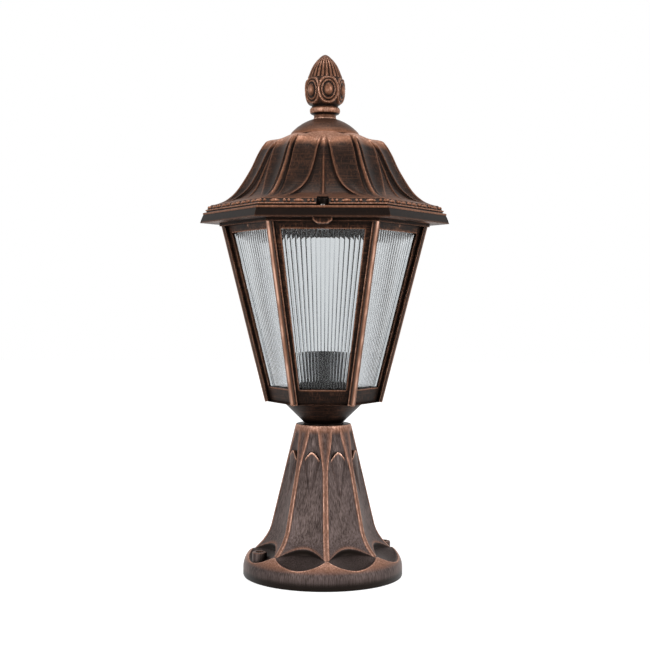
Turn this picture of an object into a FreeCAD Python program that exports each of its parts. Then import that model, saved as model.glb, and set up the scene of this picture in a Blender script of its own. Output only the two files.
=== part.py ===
"""Garden lantern on a pedestal: cast frame, ribbed panes and a hinged bell roof. Millimetres.

The origin is the middle of the foot's underside, +Z is up and the front faces -Y.
The six-sided head has corners on +X and -X.
"""
import FreeCAD, Part
import math
import os
import Sketcher
from types import SimpleNamespace

Vector = FreeCAD.Vector

# Driving dimensions: name, value, meaning
SIZES = [
    # Pedestal
    ("foot_radius", 76.5, "outer radius of the foot"),
    ("foot_edge", 1.5, "bevel of the foot's lower edge"),
    ("rim_height", 8.0, "height where the foot's round rim starts"),
    ("rim_round", 21.1, "radius of the foot's round rim"),
    ("rim_inner_radius", 65.0, "radius where the rim meets the flare"),
    ("rim_inner_height", 26.8, "height where the rim meets the flare"),
    ("flare_radius", 49.8, "blank radius at the top of the flare"),
    ("flare_height", 48.0, "height of the top of the flare"),
    ("flare_round", 38.0, "radius of the flare's hollow curve"),
    ("pedestal_height", 145.5, "height of the pedestal"),
    ("pedestal_top_radius", 26.5, "radius of the pedestal's top ring"),
    ("flank_count", 8, "number of flanks of the pedestal"),
    ("flank_top", 27.2, "flank distance from the axis where its arch ends"),
    ("flank_top_height", 142.5, "height where the flank's arch ends"),
    ("flank_shoulder", 32.2, "flank distance from the axis at its shoulder"),
    ("flank_shoulder_height", 114.0, "height of the flank's shoulder"),
    ("flank_low", 46.2, "flank distance from the axis at its low end"),
    ("flank_low_height", 50.0, "height of the flank's low end"),
    ("flank_foot", 60.5, "flank distance from the axis at the foot"),
    ("flank_foot_height", 26.0, "height where the flank reaches the foot"),
    ("flank_round", 34.0, "radius of the flank's hollow curve"),
    ("spear_top", 122.5, "height of the spear panel's point at the top"),
    ("spear_shoulder", 115.5, "height of the spear panel's shoulders"),
    ("spear_tip", 78.0, "height of the spear panel's lower tip"),
    ("spear_width", 16.0, "width of the spear panel"),
    ("spear_round", 12.0, "radius of the spear panel's pointed arch"),
    ("spear_relief", 2.6, "height of the spear panel over the flank"),
    ("pocket_reach", 62.0, "distance of the foot pockets from the axis"),
    ("pocket_height", 27.5, "height of the foot pockets' middle"),
    ("pocket_width", 48.5, "width of a foot pocket"),
    ("pocket_length", 27.0, "length of a foot pocket down the slope"),
    ("pocket_depth", 6.5, "depth of the ball that cuts a foot pocket"),
    ("pocket_slope", 33.0, "slope of the foot pockets in degrees"),
    ("lug_circle", 132.0, "diameter of the circle of the screw lugs"),
    ("lug_radius", 7.0, "outer radius of a screw lug"),
    ("lug_height", 27.0, "height of a screw lug"),
    ("lug_hole", 3.75, "radius of the hole in a screw lug"),
    ("lug_count", 2, "number of screw lugs"),
    ("seat_depth", 4.0, "depth of the seat in the pedestal's top"),
    ("seat_radius", 19.5, "radius of the seat in the pedestal's top"),
    ("web_thickness", 7.0, "thickness of the web under the seat"),
    ("hollow_top", 24.0, "radius of the pedestal's hollow at the web"),
    ("hollow_middle", 38.0, "radius of the pedestal's hollow half-way"),
    ("hollow_middle_height", 60.0, "height of the hollow's middle"),
    ("hollow_low", 45.0, "radius of the hollow above the foot"),
    ("hollow_low_height", 24.0, "height of the hollow above the foot"),
    ("hollow_foot", 59.0, "radius of the hollow in the foot"),
    ("hollow_foot_height", 8.0, "height of the hollow in the foot"),
    ("pedestal_turn", 4.2, "turn of the pedestal under the head in degrees"),
    # Head frame
    ("neck_radius", 18.5, "radius of the neck under the boat"),
    ("neck_height", 5.0, "height of the neck from the seat"),
    ("boat_height", 20.0, "height of the boat's cone"),
    ("boat_radius", 39.0, "radius of the boat at its top"),
    ("boat_wall", 4.0, "wall of the boat"),
    ("bowl_floor", 8.5, "thickness of the floor in the boat"),
    ("cage_bottom_radius", 55.6, "corner radius of the cage at its bottom"),
    ("cage_top_radius", 98.6, "corner radius of the cage at its top"),
    ("cage_height", 170.7, "height of the cage"),
    ("floor_plate", 3.0, "thickness of the cage's bottom plate"),
    ("post_width", 4.6, "width of a post on each face"),
    ("post_relief", 3.2, "height of the posts over the window panels"),
    ("panel_wall", 2.5, "wall of a window panel"),
    ("bead_radius", 2.4, "radius of the bead on each post's corner"),
    ("bead_sink", 1.6, "depth of the bead's axis behind the corner"),
    ("sill_height", 13.8, "height of a panel below its window"),
    ("head_height", 10.4, "height of a panel above its window"),
    ("stile_low_width", 3.3, "width of a panel beside its window's bottom"),
    ("stile_high_width", 5.6, "width of a panel beside its window's top"),
    ("collar_height", 3.0, "height of the moulding under the flange"),
    ("collar_reach", 2.2, "reach of the moulding past the posts"),
    ("flange_thickness", 3.0, "thickness of the flange under the roof"),
    ("rim_clearance", 0.8, "clearance between the flange and the eave round it"),
    # Panes
    ("glass_overlap", 2.2, "overlap of a pane behind its panel"),
    ("glass_base", 2.4, "thickness of a pane without its ribs"),
    ("rib_height", 0.6, "height of a pane's ribs"),
    ("rib_count", 17, "number of ribs on a pane"),
    ("glass_gap", 0.1, "gap between a pane and its panel"),
    ("clip_width", 10.0, "width of a pane clip"),
    ("clip_sheet", 0.8, "thickness of a pane clip"),
    ("clip_foot", 6.0, "length of a pane clip's foot on the panel"),
    ("clip_tongue", 4.0, "length of a pane clip's tongue on the glass"),
    ("clip_screw_radius", 1.4, "shank radius of a clip screw"),
    ("clip_screw_head", 2.4, "head radius of a clip screw"),
    ("clip_screw_head_height", 1.6, "head height of a clip screw"),
    ("clip_screw_reach", 1.7, "depth of a clip screw in the panel"),
    # Roof
    ("eave_radius", 119.5, "corner radius of the eave's lower edge"),
    ("fascia_middle_inset", 1.5, "inset of the fascia's corners half-way up"),
    ("fascia_top_inset", 4.1, "inset of the fascia's corners at its top"),
    ("fascia_height", 9.8, "height of the fascia"),
    ("fascia_middle_height", 4.4, "height of the fascia's fullest curve"),
    ("frieze_inset", 5.5, "inset of the frieze's corners"),
    ("frieze_height", 4.4, "height of the frieze"),
    ("frieze_top_inset", 10.9, "inset of the corners of the frieze's sloping top"),
    ("frieze_slope_height", 2.2, "height of the frieze's sloping top"),
    ("hip_foot_height", 15.8, "height of the bell's foot over the eave"),
    ("hip_foot_share", 0.9, "hip radius at the bell's foot as a share of the eave's"),
    ("hip_flare_height", 18.6, "height of the bell's flare over the eave"),
    ("hip_flare_share", 0.842, "hip radius at the bell's flare as a share of the eave's"),
    ("hip_sweep_height", 23.2, "height of the bell's sweep over the eave"),
    ("hip_sweep_share", 0.773, "hip radius at the bell's sweep as a share of the eave's"),
    ("hip_rise_height", 32.4, "height of the bell's rise over the eave"),
    ("hip_rise_share", 0.696, "hip radius at the bell's rise as a share of the eave's"),
    ("hip_middle_height", 50.6, "height of the bell's middle over the eave"),
    ("hip_middle_share", 0.599, "hip radius at the bell's middle as a share of the eave's"),
    ("hip_swell_height", 66.0, "height of the bell's swell over the eave"),
    ("hip_swell_share", 0.537, "hip radius at the bell's swell as a share of the eave's"),
    ("hip_shoulder_height", 75.6, "height of the bell's shoulder over the eave"),
    ("hip_shoulder_share", 0.487, "hip radius at the bell's shoulder as a share of the eave's"),
    ("hip_brow_height", 79.4, "height of the bell's brow over the eave"),
    ("hip_brow_share", 0.4435, "hip radius at the bell's brow as a share of the eave's"),
    ("hip_top_height", 81.6, "height of the bell's top over the eave"),
    ("hip_top_share", 0.3096, "hip radius at the bell's top as a share of the eave's"),
    ("petal_relief", 3.0, "height of a petal's edge over the one below"),
    ("petal_hollow", 3.2, "hollow of a petal between edge and hip"),
    ("cap_radius", 34.8, "radius of the cap's foot"),
    ("cap_ring_radius", 32.0, "radius of the cap over its moulding"),
    ("cap_ring_height", 4.8, "height of the cap's moulding"),
    ("cap_top_radius", 11.4, "radius of the cap's flat top"),
    ("cap_height", 17.8, "height of the cap over the bell"),
    ("cap_round", 46.0, "radius of the cap's round flank"),
    ("roof_wall", 5.2, "wall of the roof"),
    ("eave_wall", 3.2, "wall of the eave below the seat"),
    # Catch and hinge
    ("notch_width", 10.7, "width of the notch over the lock screw"),
    ("screw_edge", 5.49, "distance of the lock screw from the flange's edge"),
    ("screw_radius", 1.95, "shank radius of the lock screw"),
    ("screw_head_radius", 3.4, "head radius of the lock screw"),
    ("screw_head_height", 2.3, "head height of the lock screw"),
    ("screw_slot", 0.9, "width of the slot in the screw head"),
    ("screw_clearance", 0.5, "clearance round the lock screw"),
    ("screw_end", 1.0, "end of the lock screw over the lug's underside"),
    ("catch_width", 17.0, "width of the catch lug at its top"),
    ("catch_low_width", 9.0, "width of the catch lug at its bottom"),
    ("catch_height", 5.7, "height of the catch lug"),
    ("catch_boss_width", 18.0, "width of the boss in the eave"),
    ("hinge_overhang", 6.51, "distance of the hinge pin behind the eave"),
    ("hinge_rise", 0.8, "height of the hinge pin over the flange's underside"),
    ("knuckle_radius", 4.5, "radius of the hinge knuckles"),
    ("arm_width", 17.0, "width of the hinge arm"),
    ("ear_width", 5.0, "width of a hinge ear"),
    ("hinge_side_gap", 0.3, "gap between hinge arm and ears"),
    ("pin_radius", 1.6, "radius of the hinge pin"),
    ("pin_clearance", 0.05, "running clearance of the hinge pin"),
    ("pin_overhang", 0.6, "length of the hinge pin past each ear"),
    ("lift_gap", 0.4, "gap between hinge arm and eave"),
    # Finial
    ("finial_neck_radius", 11.0, "radius of the finial's neck"),
    ("finial_neck_height", 5.2, "height of the finial's neck"),
    ("finial_ring_radius", 14.3, "radius of the finial's ring"),
    ("finial_ring_height", 8.4, "height of the finial's ring"),
    ("cup_low_radius", 13.0, "radius of the finial's cup at its foot"),
    ("cup_radius", 18.6, "radius of the finial's cup"),
    ("cup_height", 24.6, "height of the finial's cup"),
    ("cup_round", 16.5, "radius of the cup's flank"),
    ("oval_count", 6, "number of ovals round the cup"),
    ("oval_height", 20.0, "height of an oval frame"),
    ("oval_width", 16.5, "width of an oval frame"),
    ("oval_relief", 2.6, "half thickness of an oval frame"),
    ("oval_border", 2.4, "width of an oval frame's border"),
    ("oval_boss_height", 12.5, "height of the boss in an oval frame"),
    ("oval_boss_width", 8.0, "width of the boss in an oval frame"),
    ("oval_turn", 12.0, "turn of the ovals to the right in degrees"),
    ("bud_radius", 17.0, "radius of the bud at its foot"),
    ("bud_height", 25.2, "height of the bud"),
    ("bud_flutes", 24, "number of flutes on the bud"),
    ("flute_depth", 1.5, "depth of the bud's flutes"),
    ("stud_radius", 3.0, "radius of the finial's stud"),
    ("stud_clearance", 0.1, "clearance round the finial's stud"),
    ("stud_up", 16.0, "length of the stud in the finial"),
    ("stud_down", 10.0, "length of the stud below the cap's plate"),
    ("cap_plate", 7.5, "thickness of the cap's plate under the finial"),
    ("small_nut_flat", 10.0, "width across flats of the stud's nut"),
    ("small_nut_height", 5.0, "height of the stud's nut"),
    ("small_washer_radius", 6.2, "radius of the stud's washer"),
    ("small_washer_height", 1.2, "thickness of the stud's washer"),
    # Threaded tube and its nuts
    ("tube_radius", 5.0, "outer radius of the threaded tube"),
    ("tube_bore", 3.8, "bore radius of the threaded tube"),
    ("tube_clearance", 0.25, "clearance round the threaded tube"),
    ("thread_clearance", 0.1, "clearance in a nut or a threaded hole"),
    ("tube_tail", 2.5, "length of the tube below the lower nut"),
    ("tube_entry", 11.0, "length of the tube in the lampholder"),
    ("nut_flat", 17.0, "width across flats of the tube's nuts"),
    ("nut_height", 5.0, "height of the tube's nuts"),
    ("washer_radius", 10.5, "radius of the tube's washers"),
    ("washer_height", 1.2, "thickness of the tube's washers"),
    # Lampholder
    ("holder_height", 58.0, "height of the lampholder"),
    ("holder_radius", 19.6, "outer radius of the skirt"),
    ("holder_wall", 2.2, "wall of the skirt"),
    ("holder_cap_height", 18.0, "height of the lampholder's cap"),
    ("holder_foot_radius", 10.0, "radius of the cap's foot"),
    ("holder_cap_wall", 2.6, "wall of the lampholder's cap"),
    ("holder_fit", 0.1, "clearance between pieces of the lampholder"),
    ("insert_height", 9.0, "height of the contact insert"),
    ("shell_bore", 13.25, "bore radius of the screw shell"),
    ("shell_wall", 0.6, "wall of the screw shell"),
    ("shell_height", 24.0, "height of the screw shell"),
    ("contact_radius", 4.0, "radius of the centre contact"),
    ("contact_height", 3.0, "height of the centre contact"),
    # Terminals
    ("boss_radius", 4.0, "radius of the bosses under the web"),
    ("boss_reach", 15.0, "distance of the bosses from the axis"),
    ("terminal_drop", 22.0, "length of the terminal boss"),
    ("terminal_length", 27.0, "length of the terminal block"),
    ("terminal_depth", 14.0, "depth of the terminal block"),
    ("terminal_height", 14.0, "height of the terminal block"),
    ("pole_count", 3, "number of poles of the terminal block"),
    ("pole_pitch", 8.5, "pitch of the poles"),
    ("wire_hole", 2.0, "radius of a wire hole"),
    ("clamp_radius", 1.6, "radius of a clamp screw"),
    ("clamp_row", 8.0, "distance between the rows of clamp screws"),
    ("clamp_length", 3.6, "length of a clamp screw"),
    ("clamp_sink", 0.6, "depth of a clamp screw in its hole"),
    ("fixing_radius", 1.6, "shank radius of the small fixing screws"),
    ("fixing_head", 3.2, "head radius of the small fixing screws"),
    ("fixing_head_height", 2.0, "head height of the small fixing screws"),
    ("fixing_reach", 6.0, "depth of a fixing screw in its boss"),
    ("earth_drop", 8.5, "length of the earth boss"),
    ("earth_washer_radius", 4.2, "radius of the earth washer"),
    ("earth_washer_height", 0.8, "thickness of the earth washer"),
]


class Size:
    """A length or angle that carries its value and the expression that gives it."""

    def __init__(self, value, text):
        self.value = value
        self.text = text

    def join(self, other, sign, result):
        return Size(result, f"({self.text} {sign} {as_size(other).text})")

    def __add__(self, other):
        return self.join(other, "+", self.value + as_size(other).value)

    def __sub__(self, other):
        return self.join(other, "-", self.value - as_size(other).value)

    def __mul__(self, other):
        return self.join(other, "*", self.value * as_size(other).value)

    def __truediv__(self, other):
        return self.join(other, "/", self.value / as_size(other).value)

    def __radd__(self, other):
        return as_size(other) + self

    def __rsub__(self, other):
        return as_size(other) - self

    def __rmul__(self, other):
        return as_size(other) * self

    def __rtruediv__(self, other):
        return as_size(other) / self

    def __neg__(self):
        return Size(-self.value, f"(-1 * {self.text})")


def as_size(number):
    """The number as a Size, or the Size itself."""
    return number if isinstance(number, Size) else Size(float(number), f"({float(number)})")


def cosine(angle):
    angle = as_size(angle)
    return Size(math.cos(math.radians(angle.value)), f"cos({angle.text})")


def sine(angle):
    angle = as_size(angle)
    return Size(math.sin(math.radians(angle.value)), f"sin({angle.text})")


def slope_angle(rise, run):
    """Angle in degrees of a slope."""
    ratio = as_size(rise) / run
    return Size(math.degrees(math.atan(ratio.value)), f"(atan({ratio.text}) / 1 deg)")


document = FreeCAD.newDocument("garden_lantern")
sheet = document.addObject("Spreadsheet::Sheet", "Sizes")
for row, (alias, value, meaning) in enumerate(SIZES, start=1):
    sheet.set(f"A{row}", meaning)
    sheet.set(f"B{row}", str(value))
    sheet.setAlias(f"B{row}", alias)
document.recompute()
size = SimpleNamespace(**{alias: Size(sheet.get(alias), f"Sizes.{alias}") for alias, _, _ in SIZES})
sub_parts = []

# Number of sides of the head
SIDES = 6
# Share of the bud's height where its smooth tip starts
TIP_SHARE = 0.93


# Helpers: each one binds what it makes to the sheet

def bind(thing, path, amount):
    """Bind a property of a thing to the sheet."""
    thing.setExpression(path, as_size(amount).text)


def new_body(label):
    """An empty body that becomes the sub-part of that name."""
    body = document.addObject("PartDesign::Body", label)
    body.Label = label
    return body


def keep(thing, label):
    """Name a finished object as a sub-part."""
    thing.Label = label
    sub_parts.append(thing)
    return thing


def origin_feature(body, role):
    return next(feature for feature in body.Origin.OriginFeatures if feature.Role == role)


def arc_between(start, end, radius):
    """The short arc from start to end, to the left of its chord for a radius over zero."""
    chord = end - start
    side = Vector(-chord.y, chord.x, 0).normalize() * math.copysign(1, radius)
    depth = math.sqrt(max(radius * radius - chord.Length ** 2 / 4, 0))
    centre = (start + end) * 0.5 + side * depth
    first, last = (start, end) if radius > 0 else (end, start)
    first_angle = math.atan2(first.y - centre.y, first.x - centre.x)
    last_angle = math.atan2(last.y - centre.y, last.x - centre.x)
    if last_angle < first_angle:
        last_angle += 2 * math.pi
    return Part.ArcOfCircle(Part.Circle(centre, Vector(0, 0, 1), abs(radius)), first_angle, last_angle)


def pin_point(sketch, edge, end, across, up):
    """Hold the end of an edge at a place that the sheet gives."""
    for kind, amount in (("DistanceX", across), ("DistanceY", up)):
        number = sketch.addConstraint(Sketcher.Constraint(kind, -1, 1, edge, end, as_size(amount).value))
        bind(sketch, f"Constraints[{number}]", amount)


def draw_outline(sketch, points):
    """Closed outline of points (across, up) or (across, up, radius of the arc to the next point)."""
    places = [Vector(as_size(point[0]).value, as_size(point[1]).value, 0) for point in points]
    base = sketch.GeometryCount
    starts = []
    for index, point in enumerate(points):
        start, end = places[index], places[(index + 1) % len(points)]
        if len(point) == 3:
            radius = as_size(point[2])
            edge = sketch.addGeometry(arc_between(start, end, radius.value))
            starts.append(1 if radius.value > 0 else 2)
            number = sketch.addConstraint(Sketcher.Constraint("Radius", edge, abs(radius.value)))
            bind(sketch, f"Constraints[{number}]", radius if radius.value > 0 else -radius)
        else:
            sketch.addGeometry(Part.LineSegment(start, end))
            starts.append(1)
    for index, point in enumerate(points):
        after = (index + 1) % len(points)
        sketch.addConstraint(
            Sketcher.Constraint("Coincident", base + index, 3 - starts[index], base + after, starts[after]))
        pin_point(sketch, base + index, starts[index], point[0], point[1])


def draw_circle(sketch, across, up, radius):
    edge = sketch.addGeometry(
        Part.Circle(Vector(as_size(across).value, as_size(up).value, 0), Vector(0, 0, 1), as_size(radius).value))
    pin_point(sketch, edge, 3, across, up)
    number = sketch.addConstraint(Sketcher.Constraint("Radius", edge, as_size(radius).value))
    bind(sketch, f"Constraints[{number}]", radius)


def new_sketch(body, name, plane, shift=(0, 0, 0), tilt=0):
    """Sketch on an origin plane, shifted in the plane's own axes and tilted about its first axis."""
    sketch = body.newObject("Sketcher::SketchObject", name)
    sketch.AttachmentSupport = [(origin_feature(body, plane), "")]
    sketch.MapMode = "FlatFace"
    tilt = as_size(tilt)
    places = [as_size(amount) for amount in shift]
    sketch.AttachmentOffset = FreeCAD.Placement(
        Vector(*[place.value for place in places]), FreeCAD.Rotation(Vector(1, 0, 0), tilt.value))
    for axis, place in zip("xyz", places):
        bind(sketch, f".AttachmentOffset.Base.{axis}", place)
    if tilt.value:
        bind(sketch, ".AttachmentOffset.Rotation.Angle", tilt)
    return sketch


def turn(body, name, points, cut=False):
    """Turned form: the outline (radius, height) goes once round the axis."""
    sketch = new_sketch(body, f"{name}_profile", "XZ_Plane")
    draw_outline(sketch, points)
    feature = body.newObject("PartDesign::Groove" if cut else "PartDesign::Revolution", name)
    feature.Profile = sketch
    feature.ReferenceAxis = (sketch, ["V_Axis"])
    feature.Angle = 360
    document.recompute()
    return feature


def extrude(body, name, sketch, length, cut=False, both_ways=False, reverse=False):
    """Pad or pocket of a sketch."""
    feature = body.newObject("PartDesign::Pocket" if cut else "PartDesign::Pad", name)
    feature.Profile = sketch
    feature.Length = as_size(length).value
    bind(feature, "Length", length)
    feature.Midplane = both_ways
    feature.Reversed = reverse
    document.recompute()
    return feature


def around(body, name, feature, count):
    """Pattern of a feature round the axis."""
    pattern = body.newObject("PartDesign::PolarPattern", name)
    pattern.Originals = [feature]
    pattern.Axis = (origin_feature(body, "Z_Axis"), [""])
    pattern.Angle = 360
    pattern.Occurrences = int(as_size(count).value)
    bind(pattern, "Occurrences", count)
    body.Tip = pattern
    document.recompute()
    return pattern


def primitive(body, kind, name, sizes, place, tilt=0, tilt_axis=Vector(0, 1, 0)):
    """Additive or subtractive primitive at a place, tilted about an axis."""
    feature = body.newObject(f"PartDesign::{kind}", name)
    for path, amount in sizes.items():
        setattr(feature, path, as_size(amount).value)
        bind(feature, path, amount)
    places = [as_size(amount) for amount in place]
    feature.Placement = FreeCAD.Placement(
        Vector(*[amount.value for amount in places]), FreeCAD.Rotation(tilt_axis, as_size(tilt).value))
    for axis, amount in zip("xyz", places):
        bind(feature, f".Placement.Base.{axis}", amount)
    if as_size(tilt).value:
        bind(feature, ".Placement.Rotation.Angle", tilt)
    document.recompute()
    return feature


def polygon(radius, count):
    """Corners of a regular polygon."""
    step = 360 / count
    return [(radius * cosine(step * index), radius * sine(step * index)) for index in range(count)]


def turned_part(label, points):
    """A sub-part that is one turned form."""
    body = new_body(label)
    turn(body, "turned", points)
    return keep(body, label)


def ring_part(label, outer, inner, low, high):
    """A washer or sleeve."""
    return turned_part(label, [(inner, low), (outer, low), (outer, high), (inner, high)])


def nut_part(label, flat, bore, low, height):
    """A hexagon nut that stands on a height."""
    body = new_body(label)
    sketch = new_sketch(body, "nut_outline", "XY_Plane", (0, 0, low))
    draw_outline(sketch, polygon(flat / (2 * cosine(30)), 6))
    draw_circle(sketch, 0, 0, bore)
    extrude(body, "nut_pad", sketch, height)
    return keep(body, label)


def solid_between(wires, ruled):
    """Solid through closed wires."""
    return Part.makeLoft(wires, True, ruled)


def flat_wire(points):
    return Part.makePolygon(points + points[:1])


def plain_feature(name, shape):
    """An object that holds a shape worked out in this script."""
    feature = document.addObject("Part::Feature", name)
    feature.Shape = shape
    return feature


def combine(kind, name, *things):
    """Boolean of objects: the first two, or all of them in a fusion."""
    result = document.addObject(f"Part::{kind}", name)
    if kind == "MultiFuse":
        result.Shapes = list(things)
        result.Refine = True
    else:
        result.Base, result.Tool = things
    document.recompute()
    return result


# Heights and slopes that several pieces share
seat_height = size.pedestal_height - size.seat_depth
web_height = seat_height - size.web_thickness
cage_height = seat_height + size.neck_height + size.boat_height
flange_low = cage_height + size.cage_height
flange_high = flange_low + size.flange_thickness
hexagon_half = cosine(180 / SIDES)
cage_bottom_half = size.cage_bottom_radius * hexagon_half
cage_top_half = size.cage_top_radius * hexagon_half
face_tilt = slope_angle(cage_top_half - cage_bottom_half, size.cage_height)
corner_tilt = slope_angle(size.cage_top_radius - size.cage_bottom_radius, size.cage_height)
face_length = size.cage_height / cosine(face_tilt)
panel_low_half = size.cage_bottom_radius / 2 - size.post_width
panel_high_half = size.cage_top_radius / 2 - size.post_width
panel_spread = (panel_high_half - panel_low_half) / face_length
window_top = face_length - size.head_height
window_low_half = panel_low_half + panel_spread * size.sill_height - size.stile_low_width
window_high_half = panel_low_half + panel_spread * window_top - size.stile_high_width
inner_depth = size.post_relief + size.panel_wall
inner_inset = inner_depth / cosine(face_tilt) / hexagon_half
bowl_height = seat_height + size.bowl_floor
bell_top = flange_low + size.hip_top_height
finial_seat = bell_top + size.cap_height
fascia_top = flange_low + size.fascia_height
frieze_top = fascia_top + size.frieze_height
hinge_height = flange_low + size.hinge_rise
eave_half = size.eave_radius * hexagon_half
flange_half = eave_half - size.eave_wall - size.rim_clearance
screw_reach = flange_half - size.screw_edge
hinge_reach = eave_half + size.hinge_overhang
frieze_radius = size.eave_radius - size.frieze_inset


def pedestal():
    body = new_body("pedestal")
    turn(body, "blank", [
        (0, 0),
        (size.foot_radius - size.foot_edge, 0),
        (size.foot_radius, size.foot_edge),
        (size.foot_radius, size.rim_height, size.rim_round),
        (size.rim_inner_radius, size.rim_inner_height, -size.flare_round),
        (size.flare_radius, size.flare_height),
        (size.pedestal_top_radius, size.pedestal_height),
        (0, size.pedestal_height)])
    beyond = size.foot_radius * 1.2
    sketch = new_sketch(body, "flank_profile", "XZ_Plane")
    draw_outline(sketch, [
        (size.flank_top, size.flank_top_height),
        (size.flank_shoulder, size.flank_shoulder_height),
        (size.flank_low, size.flank_low_height, size.flank_round),
        (size.flank_foot, size.flank_foot_height),
        (beyond, size.flank_foot_height),
        (beyond, size.flank_top_height)])
    flank = extrude(body, "flank", sketch, size.foot_radius * 2, cut=True, both_ways=True)
    around(body, "flanks", flank, size.flank_count)
    pocket = primitive(body, "SubtractiveEllipsoid", "foot_pocket", {
        "Radius1": size.pocket_depth, "Radius2": size.pocket_length / 2, "Radius3": size.pocket_width / 2,
        "Angle1": -90, "Angle2": 90, "Angle3": 360},
        (size.pocket_reach, 0, size.pocket_height), size.pocket_slope)
    around(body, "foot_pockets", pocket, size.flank_count)
    add_spears(body)
    lug = primitive(body, "AdditiveCylinder", "lug", {
        "Radius": size.lug_radius, "Height": size.lug_height, "Angle": 360}, (size.lug_circle / 2, 0, 0))
    around(body, "lugs", lug, size.lug_count)
    turn(body, "hollow", [
        (0, 0),
        (size.hollow_foot, 0),
        (size.hollow_foot, size.hollow_foot_height),
        (size.hollow_low, size.hollow_low_height),
        (size.hollow_middle, size.hollow_middle_height),
        (size.hollow_top, web_height),
        (0, web_height)], cut=True)
    turn(body, "seat", [
        (0, seat_height),
        (size.seat_radius, seat_height),
        (size.seat_radius, size.pedestal_height),
        (0, size.pedestal_height)], cut=True)
    hole = primitive(body, "SubtractiveCylinder", "lug_hole", {
        "Radius": size.lug_hole, "Height": size.lug_height, "Angle": 360}, (size.lug_circle / 2, 0, 0))
    around(body, "lug_holes", hole, size.lug_count)
    primitive(body, "SubtractiveCylinder", "tube_hole", {
        "Radius": size.tube_radius + size.tube_clearance, "Height": size.web_thickness, "Angle": 360},
        (0, 0, web_height))
    add_boss(body, "terminal", size.terminal_drop)
    add_boss(body, "earth", size.earth_drop)
    body.Placement = FreeCAD.Placement(Vector(0, 0, 0), FreeCAD.Rotation(Vector(0, 0, 1), 1))
    bind(body, ".Placement.Rotation.Angle", pedestal_angle)
    keep(body, "pedestal")


def add_spears(body):
    """Spear panels that stand out at their top and run into the flank at their tip."""
    rise = size.flank_shoulder_height - size.flank_low_height
    spread = size.flank_low - size.flank_shoulder
    tip_reach = size.flank_shoulder + spread * (size.flank_shoulder_height - size.spear_tip) / rise
    top_reach = size.flank_shoulder + size.spear_relief
    length = size.flank_shoulder_height - size.spear_tip
    lean = slope_angle(tip_reach - top_reach, length)
    along = 1 / cosine(lean)
    sketch = new_sketch(body, "spear_outline", "XZ_Plane", (0, size.spear_tip, tip_reach), -lean)
    draw_outline(sketch, [
        (0, 0),
        (size.spear_width / 2, (size.spear_shoulder - size.spear_tip) * along, size.spear_round),
        (0, (size.spear_top - size.spear_tip) * along, size.spear_round),
        (size.spear_width / -2, (size.spear_shoulder - size.spear_tip) * along)])
    spear = extrude(body, "spear", sketch, size.spear_relief * 3, reverse=True)
    around(body, "spears", spear, size.flank_count)


def add_boss(body, name, drop):
    """Boss under the web with the hole of its screw."""
    place = boss_places[name]
    primitive(body, "AdditiveCylinder", f"{name}_boss", {
        "Radius": size.boss_radius, "Height": drop + 1, "Angle": 360},
        (place[0], place[1], web_height - drop))
    primitive(body, "SubtractiveCylinder", f"{name}_boss_hole", {
        "Radius": size.fixing_radius + size.thread_clearance, "Height": size.fixing_reach + 1, "Angle": 360},
        (place[0], place[1], web_height - drop))


def face_sketch(body, name, depth=0, up=0):
    """Sketch on the front face of the cage, some way behind its surface and up its slope."""
    low = cage_height + up * cosine(face_tilt) + depth * sine(face_tilt)
    reach = cage_bottom_half + up * sine(face_tilt) - depth * cosine(face_tilt)
    return new_sketch(body, name, "XZ_Plane", (0, low, reach), face_tilt)


def lantern_frame():
    body = new_body("lantern_frame")
    hexagon_loft(body, "cage", "AdditiveLoft", size.cage_bottom_radius, size.cage_top_radius,
                 cage_height, flange_low)
    cut_panels(body)
    add_beads(body)
    turn(body, "boat", [
        (0, seat_height),
        (size.neck_radius, seat_height),
        (size.neck_radius, seat_height + size.neck_height),
        (size.boat_radius, cage_height),
        (size.boat_radius, cage_height + size.floor_plate / 2),
        (0, cage_height + size.floor_plate / 2)])
    collar = size.cage_top_radius + size.collar_reach
    sketch = new_sketch(body, "collar_outline", "XY_Plane", (0, 0, flange_low - size.collar_height))
    draw_outline(sketch, polygon(collar, SIDES))
    extrude(body, "collar", sketch, size.collar_height)
    sketch = new_sketch(body, "flange_outline", "XY_Plane", (0, 0, flange_low))
    draw_outline(sketch, polygon(flange_half / hexagon_half, SIDES))
    extrude(body, "flange", sketch, size.flange_thickness)
    rise = (size.cage_top_radius - size.cage_bottom_radius) / size.cage_height
    floor_radius = size.cage_bottom_radius + rise * size.floor_plate - inner_inset
    high_radius = size.cage_top_radius + rise * size.flange_thickness - inner_inset
    hexagon_loft(body, "inside", "SubtractiveLoft", floor_radius, high_radius,
                 cage_height + size.floor_plate, flange_high)
    wall = size.boat_wall / cosine(45)
    turn(body, "bowl", [
        (0, bowl_height),
        (size.neck_radius + bowl_height - seat_height - size.neck_height - wall, bowl_height),
        (size.boat_radius + size.floor_plate - wall, cage_height + size.floor_plate),
        (0, cage_height + size.floor_plate)], cut=True)
    primitive(body, "SubtractiveCylinder", "tube_hole", {
        "Radius": size.tube_radius + size.tube_clearance, "Height": size.bowl_floor, "Angle": 360},
        (0, 0, seat_height))
    sketch = face_sketch(body, "clip_hole_outline", inner_depth, clip_screw_up)
    draw_circle(sketch, 0, 0, size.clip_screw_radius + size.thread_clearance)
    hole = extrude(body, "clip_hole", sketch, size.clip_screw_reach + size.thread_clearance, cut=True, reverse=True)
    around(body, "clip_holes", hole, SIDES)
    add_catch_lug(body)
    add_hinge_arm(body)
    keep(body, "lantern_frame")


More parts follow.
